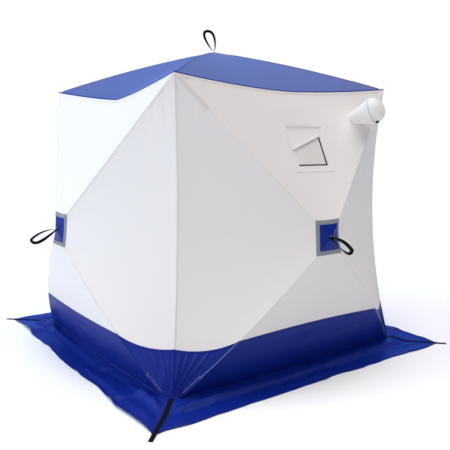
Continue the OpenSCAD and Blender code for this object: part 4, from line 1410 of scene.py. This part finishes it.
def make_pockets(cube, sewing):
    """Pole pockets outside each corner: strips over the pole lines, with a round end and a patch under
    them at the top. Their widths are measured along the panels."""
    z = sizes()
    for wall in WALLS:
        for i in range(4):
            span = pole_span(cube, i)
            if i > 1:
                end = POCKET_START + z.pocket_length / span
                grid = over_pole(cube, i, wall, POCKET_START, end, z.pocket_w / 2, 40, 13, 0.02 / span)
                patch = over_pole(cube, i, wall, 0.004, 0.085 / span, 0.046, 20, 13, 0.035 / span)
                sewing.strip("corner patch", patch, wall, 0.0004, 0.0006, WIDE_ROWS, "white row")
                # Only the front wall's upper pockets take the greyer pocket cloth, a painted shade; the same
                # pockets on the other walls are white
                key = "upper pocket" if wall == "front" else "white pocket"
                sewing.strip(key, grid, wall, 0.0012, 0.0026, WIDE_ROWS, "white row")
            else:
                end = LOW_POCKET_START + z.low_pocket_length / span
                grid = over_pole(cube, i, wall, LOW_POCKET_START, end, z.low_pocket_w / 2, 40, 13)
                key = "lower pocket"
                face, normals = sewing.strip(key, grid, wall, 0.0008, 0.0014, WIDE_ROWS, "pale row")
                sewing.row("pale row", face[-3], normals[-3], wall)
        half = z.pocket_w * ROOF_POCKET_WIDTH / 2
        grid = over_roof_pole(cube, wall, ROOF_POCKET_START, ROOF_POCKET_END, half, 30)
        sewing.strip("roof pocket", grid, wall, 0.0010, 0.0016, NARROW_ROWS, "roof row")
    upper, lower = (SLANT * z.pocket_w, z.pocket_length), (SLANT * z.low_pocket_w, z.low_pocket_length)
    roof = (SLANT * ROOF_POCKET_WIDTH * z.pocket_w, ROOF_POCKET_LENGTH)
    for key, name, look, slot, count, (wide, tall) in (
        # The front wall's upper pockets, in cloth greyed as painted shade
        ("upper pocket", "front_pole_pockets_painted_shade", "pocket", "white_cloth", 2, upper),
        ("white pocket", "upper_pole_pockets", "white", "white_cloth", 6, upper),
        ("lower pocket", "lower_pole_pockets", "blue", "blue_cloth", 8, lower),
        ("corner patch", "top_corner_patches", "white", "white_cloth", 8, CORNER_PATCH),
        ("roof pocket", "roof_pole_pockets", "roof", "roof_cloth", 4, roof),
    ):
        piece = sewing.put(key, name, look, slot)


# Half width of the felled seams, the width of the roof's hem and the radius of the skirts' seam cord
SEAM_HALF, ROOF_HEM, CORD_R = 0.006, 0.012, 0.0042
# Lift of the seams off the cloth, and the crown of those over poles, of the corners' and of the piping
SEAM_LIFT, POLE_CROWN, CORNER_CROWN, PIPING_CROWN = 0.0006, 0.0008, 0.0022, 0.0020
# Rise of a skirt's hem across its width
SKIRT_HEM = 0.0010 * np.array([0.5, 1, 1, 1, 1, 0.5])[:, None, None]


def make_seams(cube, sewing):
    """Hems along the roof, bands and skirts, and felled seams over the corners and pole lines."""
    z = sizes()
    s, w = np.linspace(0, 1, 121)[:, None], np.linspace(0, 1, 7)[None]
    for wall in WALLS:
        grid = cube.panel(2, s, w * z.hem_w / (z.corner_height - z.hub_height), wall)
        sewing.strip("white hem", grid, wall, 0.0012, 0.0016, (2, 4), "white row")
        # The roof's hem is made in the darker band blue, not the roof's blue: a painted shade line under the
        # roof's edge
        grid = cube.roof_panel(1 - s, w * ROOF_HEM / cube.half_top, wall)
        sewing.strip("roof hem", grid, wall, 0.0016, 0.0034)
        grid = over_corner(cube, wall, cube.band_s, 0.995, SEAM_HALF)
        sewing.strip("white seam", grid, wall, SEAM_LIFT, CORNER_CROWN, NARROW_ROWS, "white row")
        grid = over_corner(cube, wall, 0.03, cube.band_s, SEAM_HALF, 24)
        sewing.strip("blue seam", grid, wall, SEAM_LIFT, CORNER_CROWN)
        for i in range(4):
            if i > 1:
                start, rows = POCKET_START + z.pocket_length / pole_span(cube, i), 50
            else:
                start, rows = cube.band_t, 40
            grid = over_pole(cube, i, wall, start, cube.border_t, SEAM_HALF, rows)
            sewing.strip("white seam", grid, wall, SEAM_LIFT, POLE_CROWN, NARROW_ROWS, "white row")
            if i < 2:
                start = LOW_POCKET_START + z.low_pocket_length / pole_span(cube, i)
                grid = over_pole(cube, i, wall, start, cube.band_t, SEAM_HALF, 20)
                key = "piping" if wall == "front" else "blue seam"
                sewing.strip(key, grid, wall, SEAM_LIFT, PIPING_CROWN)
        grid = over_roof_pole(cube, wall, ROOF_POCKET_END, cube.roof_border_t, SEAM_HALF, 50)
        sewing.strip("roof seam", grid, wall, SEAM_LIFT, POLE_CROWN, NARROW_ROWS, "roof row")
        grid = cube.band_grid(wall, np.linspace(1.0, 0.955, 6), 96, 18).swapaxes(0, 1)
        sewing.strip("blue hem", grid, wall, 0.0010, 0.0012, (2, 4), "blue row")
        upper = skirt_grid(cube, wall, np.linspace(1.0, 0.93, 6))[1] + UP * z.cloth
        face = upper + SKIRT_HEM * UP
        sewing.add("blue hem", *sheet_between(face, upper - UP * 0.0004), wall)
        sewing.row("blue row", face[2], np.broadcast_to(UP, face[2].shape), wall)
        seam = skirt_grid(cube, wall, np.array([0.0]))[1][0] + UP * z.cloth
        across, up = directions(seam, np.broadcast_to([0, -1.0, 0.0], seam.shape))
        sewing.add("blue hem", *carry(round_profile(CORD_R), seam, across, up), wall)
    for key, name, look, slot in (
        ("white hem", "wall_top_hems", "white", "white_cloth"),
        ("roof hem", "roof_edge_hems_painted_shade", "blue", "blue_cloth"),
        # The roof's hem takes the bands' darker blue as painted shade
        ("white seam", "wall_seams", "white", "white_cloth"),
        ("blue seam", "band_corner_seams", "blue", "blue_cloth"),
        ("piping", "band_pole_piping", "roof", "roof_cloth"),
        ("roof seam", "roof_seams", "roof", "roof_cloth"),
        ("blue hem", "band_and_skirt_hems", "blue", "blue_cloth"),
    ):
        sewing.put(key, name, look, slot)


def make_stitching(sewing):
    """The gathered rows of stitches, one piece for each thread."""
    for key, name, look, slot in (
        ("white row", "white_stitching", "white_thread", "white_cloth"),
        ("pale row", "pocket_stitching", "thread", "white_cloth"),
        ("blue row", "blue_stitching", "blue", "blue_cloth"),
        ("roof row", "roof_stitching", "roof", "roof_cloth"),
    ):
        sewing.put(key, name, look, slot, 60)


def zip_parts(path, across, up, width, thickness, coil_r, teeth, closed=False):
    """A shut zip along a path: flat tape, a round coil on it, and teeth of a lift, pitch and size."""
    lift, pitch, size = teeth
    tape = carry(flat_profile(width - FIT, thickness), path, across, up, closed)
    coil = carry(round_profile(coil_r, 8), path + up * 0.0012, across, up, closed)
    return [tape, coil, stitches(path + up * lift, up, pitch, size)]


# Outline of the window's sewn frame, the flap's left, right and top, and the ends of its slanting foot
FRAME_BOX = (-0.146, -0.146, 0.142, 0.150)
FLAP_LEFT, FLAP_RIGHT, FLAP_TOP = -0.135, 0.145, 0.147
FLAP_FOOT = np.array([(FLAP_LEFT, -0.0043), (0.115, 0.090)])
# Lift of the frame's face from its outer edge to its inner one, as shares of its crown
FRAME_CROWN = np.array([0, 1, 0.2, 0, 0.2, 1, 0.6])[:, None]


def box_ring(left, foot, right, top, steps=24):
    """Points round a rectangle, anticlockwise from its lower left corner."""
    corners = np.array([(left, foot), (right, foot), (right, top), (left, top)])
    side = np.repeat(np.arange(4), steps)
    return mix(corners[side], corners[(side + 1) % 4], np.tile(np.arange(steps) / steps, 4)[:, None])


def make_window_pane(place):
    """The window's film, a little slack."""
    z = sizes()
    w, h, tape = z.window_w / 2, z.window_h / 2, z.tape_w
    x, y = np.meshgrid(np.linspace(-w, w - tape, 40), np.linspace(-h + tape, h, 38))
    dent = 0.0012 + 0.0012 * ripples(np.stack([x, y, 0 * x], axis=-1), 0.06, 5)
    points, faces = sheet_between(place.laid(x, y, -dent)[0], place.laid(x, y, -dent - 0.0008)[0])
    uv = place.uv(points)
    pane = put("window_film_pane", points, faces, finish("film"), "window_film", uv, ["window_pane"])


def make_window_zip(place, steps=40):
    """The zip down the window's right side and along its foot."""
    z = sizes()
    w, h, tape = z.window_w / 2, z.window_h / 2, z.tape_w
    down = (np.full(steps, w - tape / 2), np.linspace(h, -h, steps))
    along = (np.linspace(w - tape, -w, steps), np.full(steps, -h + tape / 2))
    parts = []
    for run in (down, along):
        path, normal = place.laid(*run, -0.0010)
        parts += zip_parts(path, *directions(path, normal), tape, 0.0020, 0.0016, (0.0024, 0.0034, 0.0034))
    points, faces = joined(parts)
    put("window_zip", points, faces, finish("zip"), "zip", place.uv(points), ["window_tape"])


def make_window_frame(place, gap=0.001):
    """The frame of cloth sewn round the window, crowned along both its edges."""
    z = sizes()
    w, h = z.window_w / 2 + gap, z.window_h / 2 + gap
    rows = len(FRAME_CROWN)
    f = np.linspace(0, 1, rows)[:, None, None]
    flat = mix(box_ring(*FRAME_BOX), box_ring(-w, -h, w, h), f)
    x, y = flat[..., 0], flat[..., 1]
    lift = 0.0013 + 0.0014 * FRAME_CROWN * np.ones(x.shape[1])
    face, back = place.laid(x, y, lift)[0], place.laid(x, y, 0.0002)[0]
    points, faces = shell(face.reshape(-1, 3), back.reshape(-1, 3), grid_faces(*x.shape, True))
    piece = put("window_frame", points, faces, finish("white"), "white_cloth", place.uv(points))


def make_window_flap(place):
    """The flap over the window's upper left corner, loose towards its foot, which ends in a rolled hem."""
    a, b = np.meshgrid(np.linspace(0, 1, 56), np.linspace(0, 1, 34))
    top = np.array([(FLAP_LEFT, FLAP_TOP), (FLAP_RIGHT, FLAP_TOP)])
    low, high = (mix(*ends, a[..., None]) for ends in (FLAP_FOOT, top))
    flat = mix(low, high, b[..., None])
    x, y = flat[..., 0], flat[..., 1]
    loose = (1 - b) ** 1.4
    lift = 0.0034 + 0.0065 * np.exp(-(((1 - b) / 0.07) ** 2)) + 0.0035 * loose * (0.35 + 0.65 * arch(a))
    lift = lift + 0.0022 * loose * ripples(np.stack([a * 5, b * 1.5, 0 * a], axis=-1), 1.0, 8)
    face, back = place.laid(x, y, lift)[0], place.laid(x, y, lift - 0.0018)[0]
    normal = place.laid(x[0], y[0])[1]
    roll = carry(round_profile(1.0, 12) * (0.0085, 0.0042), face[0], *directions(face[0], normal))
    tuck = carry(round_profile(0.0026), face[-1], *directions(face[-1], normal))
    points, faces = joined([sheet_between(face, back), roll, tuck])
    uv = place.uv(points)
    piece = put("window_flap_cloth", points, faces, finish("white"), "white_cloth", uv, ["window_flap"])


# The vent hood: its lean from the wall, the turn of that lean, its cloth and its foot's depth in the wall
VENT_LEAN, VENT_TURN, VENT_CLOTH, VENT_SINK = math.radians(30), math.radians(-10), 0.0018, -0.002
# Points round the hood, rows along its funnel and over its dome, and the gathers in the dome
VENT_SIDES, FUNNEL_ROWS, DOME_ROWS, GATHERS = 96, 30, 25, 19
# Heights and radii of the toggle
TOGGLE = np.array([(-10, 4.5), (-9, 6.2), (-4, 7.0), (4, 7.0), (9, 6.2), (10, 4.5)]).T / 1000


def vent_layer(place, axis, ring, turn, inset):
    """Grid of the hood's outer face, or of one inset from it: the funnel widens evenly from the line where
    it meets the wall to its rim, then an ellipsoid dome closes it, gathered by a cosine round it and
    drawn in at its tip."""
    z = sizes()
    run, growth = z.vent_length, (z.vent_mouth_d - z.vent_tip_d) / 2 / z.vent_length
    foot, mouth = z.vent_tip_d / 2 - inset, z.vent_mouth_d / 2 - inset
    outward = ring @ place.out
    start = (VENT_SINK - foot * outward) / (axis @ place.out + growth * outward)
    q = np.linspace(0, 1, FUNNEL_ROWS)[:, None]
    w = np.linspace(0, math.pi / 2, DOME_ROWS + 1)[1:, None]
    funnel = mix(start, run, q)
    spot = np.stack(np.broadcast_arrays(3 * np.cos(turn), 3 * np.sin(turn), 2 * q), axis=-1)
    fold = 0.0012 * np.sin(math.pi * q) * ripples(spot, 1.0, 6)
    gather = 1 + 0.035 * np.sin(w) ** 2 * np.cos(GATHERS * turn)
    dome = run + (z.vent_bulge - inset) * np.sin(w) - 0.012 * (w > 1.5)
    along = np.concatenate([funnel, np.broadcast_to(dome, (DOME_ROWS, VENT_SIDES))])
    radius = np.concatenate([foot + growth * funnel + fold, np.maximum(mouth * np.cos(w) * gather, 0.0)])
    return place.origin + along[..., None] * axis + radius[..., None] * ring


def make_vent(cube):
    """The vent hood: a funnel that leans from the wall towards the corner, its dome, the tape round its
    rim, and a toggle under the rim."""
    z, place = sizes(), VentPlace(cube)
    level = place.level * math.cos(VENT_TURN) + place.up * math.sin(VENT_TURN)
    axis = place.out * math.cos(VENT_LEAN) + level * math.sin(VENT_LEAN)
    side = level * math.cos(VENT_LEAN) - place.out * math.sin(VENT_LEAN)
    up, turn = np.cross(axis, side), angles(VENT_SIDES)
    ring = round_about(turn, side, up)
    outer, inner = (vent_layer(place, axis, ring, turn, inset) for inset in (0.0, VENT_CLOTH))
    body, faces, first = weld(outer.reshape(-1, 3), grid_faces(*outer.shape[:2], True), CLOSE)
    points, faces = shell(body, inner.reshape(-1, 3)[first], faces)
    uv = place.uv(points)
    piece = put("vent_hood_cloth", points, faces, finish("white"), "white_cloth", uv, ["vent_hood"])
    rim = outer[FUNNEL_ROWS - 1]
    oval = np.array([1.5, 0.9]) * round_profile(0.0042, 12)
    points, faces = carry(oval, rim, *directions(rim, ring, True), True)
    tape = put("vent_rim_tape", points, faces, finish("white_thread"), "white_cloth", place.uv(points))

    seat = place.origin + axis * (z.vent_length + 0.018) - up * (z.vent_mouth_d / 2 * 0.98)
    points, faces = lathe(*TOGGLE, seat - up * 0.006, axis)
    put("vent_toggle", points, faces, finish("plastic"), "hub_plastic", points[:, [0, 2]])


# Heights of the door zip's two sliders, half their length, and their pull tab's path
SLIDER_HEIGHTS, SLIDER_HALF = (0.918, 0.944), 0.008
SLIDER_TAB = np.array([[0, 0, 0], [0, -0.006, -0.008], [0, -0.005, -0.030]])


def make_door(cube):
    """The door on the left wall's rear panel: its cloth, waved like the wall's, inside its zip."""
    z, place = sizes(), DoorPlace(cube)
    wall, inset = place.wall, z.zip_w + FIT
    whole = tuple(cube.wall_grid(wall, *WALL_STEPS))
    block = whole[1][0] == place.panel
    grid, _, across, f = (part[:, block] for part in whole)
    plain = grid.reshape(-1, 3)
    x, y = place.flat(plain)
    away = -(door_away(x, y) + inset)
    slack = wall_slack(grid, across, f, 1 + WALLS.index(wall)).ravel() * ease(np.abs(away) / OPENING_FADE)
    step_to = snap(x, y, door_away, place, -inset)
    points, faces = opened(cube.drawn_in(plain, -slack), grid_faces(*f.shape), away, step_to)
    points, faces = only_used(points, faces)
    area = round(float(sheet_area(points, faces)), 4)
    size = (round(np.ptp(points[:, 0]) * 1.1, 3), round(np.ptp(points[:, 2]) * 1.02, 3))
    piece = cloth_piece(cube, "door_cloth", points, faces, wall, "white", "door_panel")


def make_door_zip(cube):
    """The zip round the door, with two sliders on its slanting upper side."""
    z, place = sizes(), DoorPlace(cube)
    line = door_outline(z.zip_w / 2)
    path, normal = place.laid(line[:, 0], line[:, 1], -0.0012)
    across, up = directions(path, normal, True)
    parts = zip_parts(path, across, up, z.zip_w, 0.0022, 0.0018, (0.0026, 0.0042, 0.0036), True)
    upper = (line[:, 0] > -0.45) & (line[:, 1] > z.hub_height + 0.02)
    for height in SLIDER_HEIGHTS:
        k = np.argmin(np.where(upper, np.abs(line[:, 1] - height), 9.0))
        along = np.cross(up[k], across[k])
        body = path[k] + up[k] * 0.0035 + np.linspace(-SLIDER_HALF, SLIDER_HALF, 5)[:, None] * along
        tab = path[k] + SLIDER_TAB + up[k] * 0.007
        for run, section in ((body, flat_profile(0.010, 0.0052)), (tab, flat_profile(0.007, 0.0018))):
            ways = (np.broadcast_to(way[k], run.shape) for way in (across, up))
            parts.append(carry(section, run, *ways))
    points, faces = joined(parts)
    points = turned(points, place.wall)
    uv = plan_uv(points, place.wall)
    put("door_zip_coil", points, faces, finish("zip"), "zip", uv, ["door_zip"], COIL)


# Radius and height of a rivet's dome, the depth of its foot, and its place beside the loop's root
RIVET_R, RIVET_DOME, RIVET_FOOT, RIVET_SIDE, RIVET_RISE = 0.0042, 0.0022, -0.002, -0.004, 0.0095


def make_rivets():
    """A domed rivet on each hub's washer, above the root of its loop."""
    z, dome = sizes(), np.linspace(0, math.pi / 2, 6)
    profile = np.r_[RIVET_FOOT, RIVET_DOME * np.sin(dome)], np.r_[RIVET_R, RIVET_R * np.cos(dome)]
    base = np.array([RIVET_SIDE, -z.hub_reach - z.webbing, z.hub_height + RIVET_RISE])
    points, faces = lathe(*profile, base, (0, -1, 0))
    parts = [(turned(points, wall), faces) for wall in WALLS]
    parts.append(lathe(*profile, np.array([RIVET_RISE, 0.0, z.peak_height + z.webbing]), UP))
    points, faces = joined(parts)
    put("hub_rivets", points, faces, finish("metal"), "hub_plastic", points[:, :2], (), COIL)


class SHELTER_OT_walls(bpy.types.Operator):
    """Makes the four white walls, with the window's, the vent's and the door's openings"""

    bl_idname = "shelter.walls"
    bl_label = "Walls"

    def execute(self, context):
        cube = CubeShape()
        for wall in WALLS:
            make_wall(cube, wall)
        return {"FINISHED"}


class SHELTER_OT_bands(bpy.types.Operator):
    """Makes the four blue bands at the foot of the walls"""

    bl_idname = "shelter.bands"
    bl_label = "Lower bands"

    def execute(self, context):
        cube = CubeShape()
        for wall in WALLS:
            make_band(cube, wall)
        return {"FINISHED"}


class SHELTER_OT_skirts(bpy.types.Operator):
    """Makes the four skirts that lie on the ice"""

    bl_idname = "shelter.skirts"
    bl_label = "Skirts"

    def execute(self, context):
        cube = CubeShape()
        for wall in WALLS:
            make_skirt(cube, wall)
        return {"FINISHED"}


class SHELTER_OT_roof(bpy.types.Operator):
    """Makes the blue roof"""

    bl_idname = "shelter.roof"
    bl_label = "Roof"

    def execute(self, context):
        make_roof(CubeShape())
        return {"FINISHED"}


class SHELTER_OT_hub_patches(bpy.types.Operator):
    """Makes the patches over the five hubs and their grey borders"""

    bl_idname = "shelter.hub_patches"
    bl_label = "Hub patches"

    def execute(self, context):
        cube = CubeShape()
        for wall in (*WALLS, None):
            make_patch(cube, wall)
        make_borders(cube)
        return {"FINISHED"}


class SHELTER_OT_straps(bpy.types.Operator):
    """Makes the pull loops and the corner straps"""

    bl_idname = "shelter.straps"
    bl_label = "Loops and straps"

    def execute(self, context):
        for wall in (*WALLS, None):
            make_loop(wall)
        make_corner_straps(CubeShape())
        return {"FINISHED"}


class SHELTER_OT_sleeves(bpy.types.Operator):
    """Makes the sleeves that hold the pole tips inside the corners"""

    bl_idname = "shelter.sleeves"
    bl_label = "Pole sleeves"

    def execute(self, context):
        cube, z = CubeShape(), sizes()
        lines = [lambda t, i=i: cube.pole_line(i, t) for i in range(4)]
        flat, bowed, arched = (0, 0, 0), (0, -z.lower_bow, 0), (0, 0, z.roof_bow)
        upper = [(lines[i], flat, wall) for wall in WALLS for i in (2, 3)]
        lower = [(lines[i], bowed, wall) for wall in WALLS for i in (0, 1)]
        top = [(lambda t: cube.roof_line(1, t), arched, wall) for wall in WALLS]
        make_sleeves(cube, "upper_pole_sleeves", upper, "white")
        make_sleeves(cube, "lower_pole_sleeves", lower, "blue")
        make_sleeves(cube, "roof_pole_sleeves", top, "roof")
        return {"FINISHED"}


class SHELTER_OT_sewing(bpy.types.Operator):
    """Makes the pole pockets, hems, seams and stitching"""

    bl_idname = "shelter.sewing"
    bl_label = "Pockets, hems and stitching"

    def execute(self, context):
        cube = CubeShape()
        sewing = Sewing(cube)
        make_pockets(cube, sewing)
        make_seams(cube, sewing)
        make_stitching(sewing)
        return {"FINISHED"}


class SHELTER_OT_window(bpy.types.Operator):
    """Makes the window, its zip, its frame and its flap"""

    bl_idname = "shelter.window"
    bl_label = "Window"

    def execute(self, context):
        place = WindowPlace(CubeShape())
        make_window_pane(place)
        make_window_zip(place)
        make_window_frame(place)
        make_window_flap(place)
        return {"FINISHED"}


class SHELTER_OT_vent(bpy.types.Operator):
    """Makes the vent hood and its toggle"""

    bl_idname = "shelter.vent"
    bl_label = "Vent"

    def execute(self, context):
        make_vent(CubeShape())
        return {"FINISHED"}


class SHELTER_OT_door(bpy.types.Operator):
    """Makes the door and its zip"""

    bl_idname = "shelter.door"
    bl_label = "Door"

    def execute(self, context):
        cube = CubeShape()
        make_door(cube)
        make_door_zip(cube)
        return {"FINISHED"}


class SHELTER_OT_rivets(bpy.types.Operator):
    """Makes the rivets on the hubs"""

    bl_idname = "shelter.rivets"
    bl_label = "Rivets"

    def execute(self, context):
        make_rivets()
        return {"FINISHED"}


class SHELTER_OT_frame_finish(bpy.types.Operator):
    """Gives the hubs and poles of the CAD model their finishes"""

    bl_idname = "shelter.frame_finish"
    bl_label = "Hubs and poles"

    def execute(self, context):
        for name in (*WALLS, "roof"):
            for part, look in (("hub", "plastic"), ("poles", "pole")):
                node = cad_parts[f"{name}_{part}"]
                node.data.materials.clear()
                node.data.materials.append(finish(look))
        return {"FINISHED"}


def add_camera(scene):
    """The camera of the photograph, from its place, the way it looks and its upward direction."""
    place = Vector((-2.4118, -3.4728, 1.400))
    ahead, above = Vector((0.58065, 0.80202, -0.14003)), Vector((0.078, 0.1164, 0.99013))
    right = ahead.cross(above).normalized()
    above = right.cross(ahead).normalized()
    camera = bpy.data.objects.new("camera", bpy.data.cameras.new("camera"))
    camera.data.lens, camera.data.sensor_width = 46.62, 36.0
    camera.data.clip_end = 200.0
    turn = Matrix((right, above, -ahead)).transposed().to_4x4()
    camera.matrix_world = Matrix.Translation(place) @ turn
    scene.collection.objects.link(camera)
    scene.camera = camera


def add_floor(scene, reach=30.0, level=-0.0005):
    """A wide pale floor just under the ice's level."""
    mesh = bpy.data.meshes.new("studio_floor")
    mesh.from_pydata([(x * reach, y * reach, level) for x, y in SQUARE], [], [(0, 1, 2, 3)])
    floor = bpy.data.objects.new("studio_floor", mesh)
    look = Finish("studio_floor", Roughness=0.9, Specular=0.1)
    pale = tuple(colours().floor)
    look.colour(look.noise(look.place(), 0.6), tinted(pale, 0.99), pale)
    mesh.materials.append(look.material)
    scene.collection.objects.link(floor)


def add_lights(scene):
    """Four soft suns, each with the side it shines from, its power, its spread in degrees and its tint."""
    for name, side, power, spread, tint in (
        ("key", (-0.76, 0.48, 0.42), 2.1, 50.0, (0.64, 0.82, 1.0)),
        ("side", (-0.72, -0.60, 0.50), 0.55, 50.0, (0.96, 0.96, 1.0)),
        ("top", (0.0, -0.12, 1.0), 2.66, 60.0, (1.0, 0.975, 0.945)),
        ("sky", (0.46, 0.78, 0.42), 1.1, 60.0, (0.14, 0.32, 1.0)),
    ):
        light = bpy.data.objects.new(name, bpy.data.lights.new(name, "SUN"))
        light.data.energy, light.data.angle, light.data.color = power, math.radians(spread), tint
        light.rotation_euler = Vector(side).to_track_quat("Z", "Y").to_euler()
        scene.collection.objects.link(light)


def add_world(scene, glow=0.02):
    """A white backdrop for the camera, which lights the shelter only faintly."""
    world = bpy.data.worlds.new("studio")
    world.use_nodes = True
    tree = world.node_tree
    tree.nodes.clear()
    kinds = ("Background", "Background", "MixShader", "LightPath", "OutputWorld")
    seen, faint, both, path, end = (tree.nodes.new(f"ShaderNode{kind}") for kind in kinds)
    for node, strength in ((seen, 1.0), (faint, glow)):
        node.inputs[0].default_value = (1.0, 1.0, 1.0, 1.0)
        node.inputs[1].default_value = strength
    tree.links.new(path.outputs["Is Camera Ray"], both.inputs[0])
    tree.links.new(faint.outputs[0], both.inputs[1])
    tree.links.new(seen.outputs[0], both.inputs[2])
    tree.links.new(both.outputs[0], end.inputs[0])
    scene.world = world
    scene.view_settings.view_transform = "Standard"


class SHELTER_OT_stage(bpy.types.Operator):
    """Makes the floor, the light and the camera"""

    bl_idname = "shelter.stage"
    bl_label = "Studio"

    def execute(self, context):
        for add in (add_camera, add_floor, add_lights, add_world):
            add(context.scene)
        return {"FINISHED"}


PIECES = (
    SHELTER_OT_stage,
    SHELTER_OT_walls,
    SHELTER_OT_bands,
    SHELTER_OT_skirts,
    SHELTER_OT_roof,
    SHELTER_OT_hub_patches,
    SHELTER_OT_straps,
    SHELTER_OT_sleeves,
    SHELTER_OT_sewing,
    SHELTER_OT_window,
    SHELTER_OT_vent,
    SHELTER_OT_door,
    SHELTER_OT_rivets,
    SHELTER_OT_frame_finish,
)


class SHELTER_PT_panel(bpy.types.Panel):
    """Sidebar panel with a button for each group of pieces"""

    bl_idname = "SHELTER_PT_panel"
    bl_label = "Cube shelter"
    bl_space_type = "VIEW_3D"
    bl_region_type = "UI"
    bl_category = "Shelter"

    def draw(self, context):
        """Draws the buttons."""
        for piece in PIECES:
            self.layout.operator(piece.bl_idname)


CLASSES = (ShelterSizes, ShelterColours, *PIECES, SHELTER_PT_panel)


def register():
    """Registers the classes and hangs the sizes and colours on the scene."""
    for c in CLASSES:
        bpy.utils.register_class(c)
    bpy.types.Scene.shelter_sizes = PointerProperty(type=ShelterSizes)
    bpy.types.Scene.shelter_colours = PointerProperty(type=ShelterColours)


def unregister():
    """Undoes what register did, in the opposite order."""
    del bpy.types.Scene.shelter_colours, bpy.types.Scene.shelter_sizes
    for c in reversed(CLASSES):
        bpy.utils.unregister_class(c)


def main():
    """Registers the add-on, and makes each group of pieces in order."""
    register()
    for piece in PIECES:
        group, name = piece.bl_idname.split(".")
        getattr(getattr(bpy.ops, group), name)()


if __name__ == "__main__":
    main()
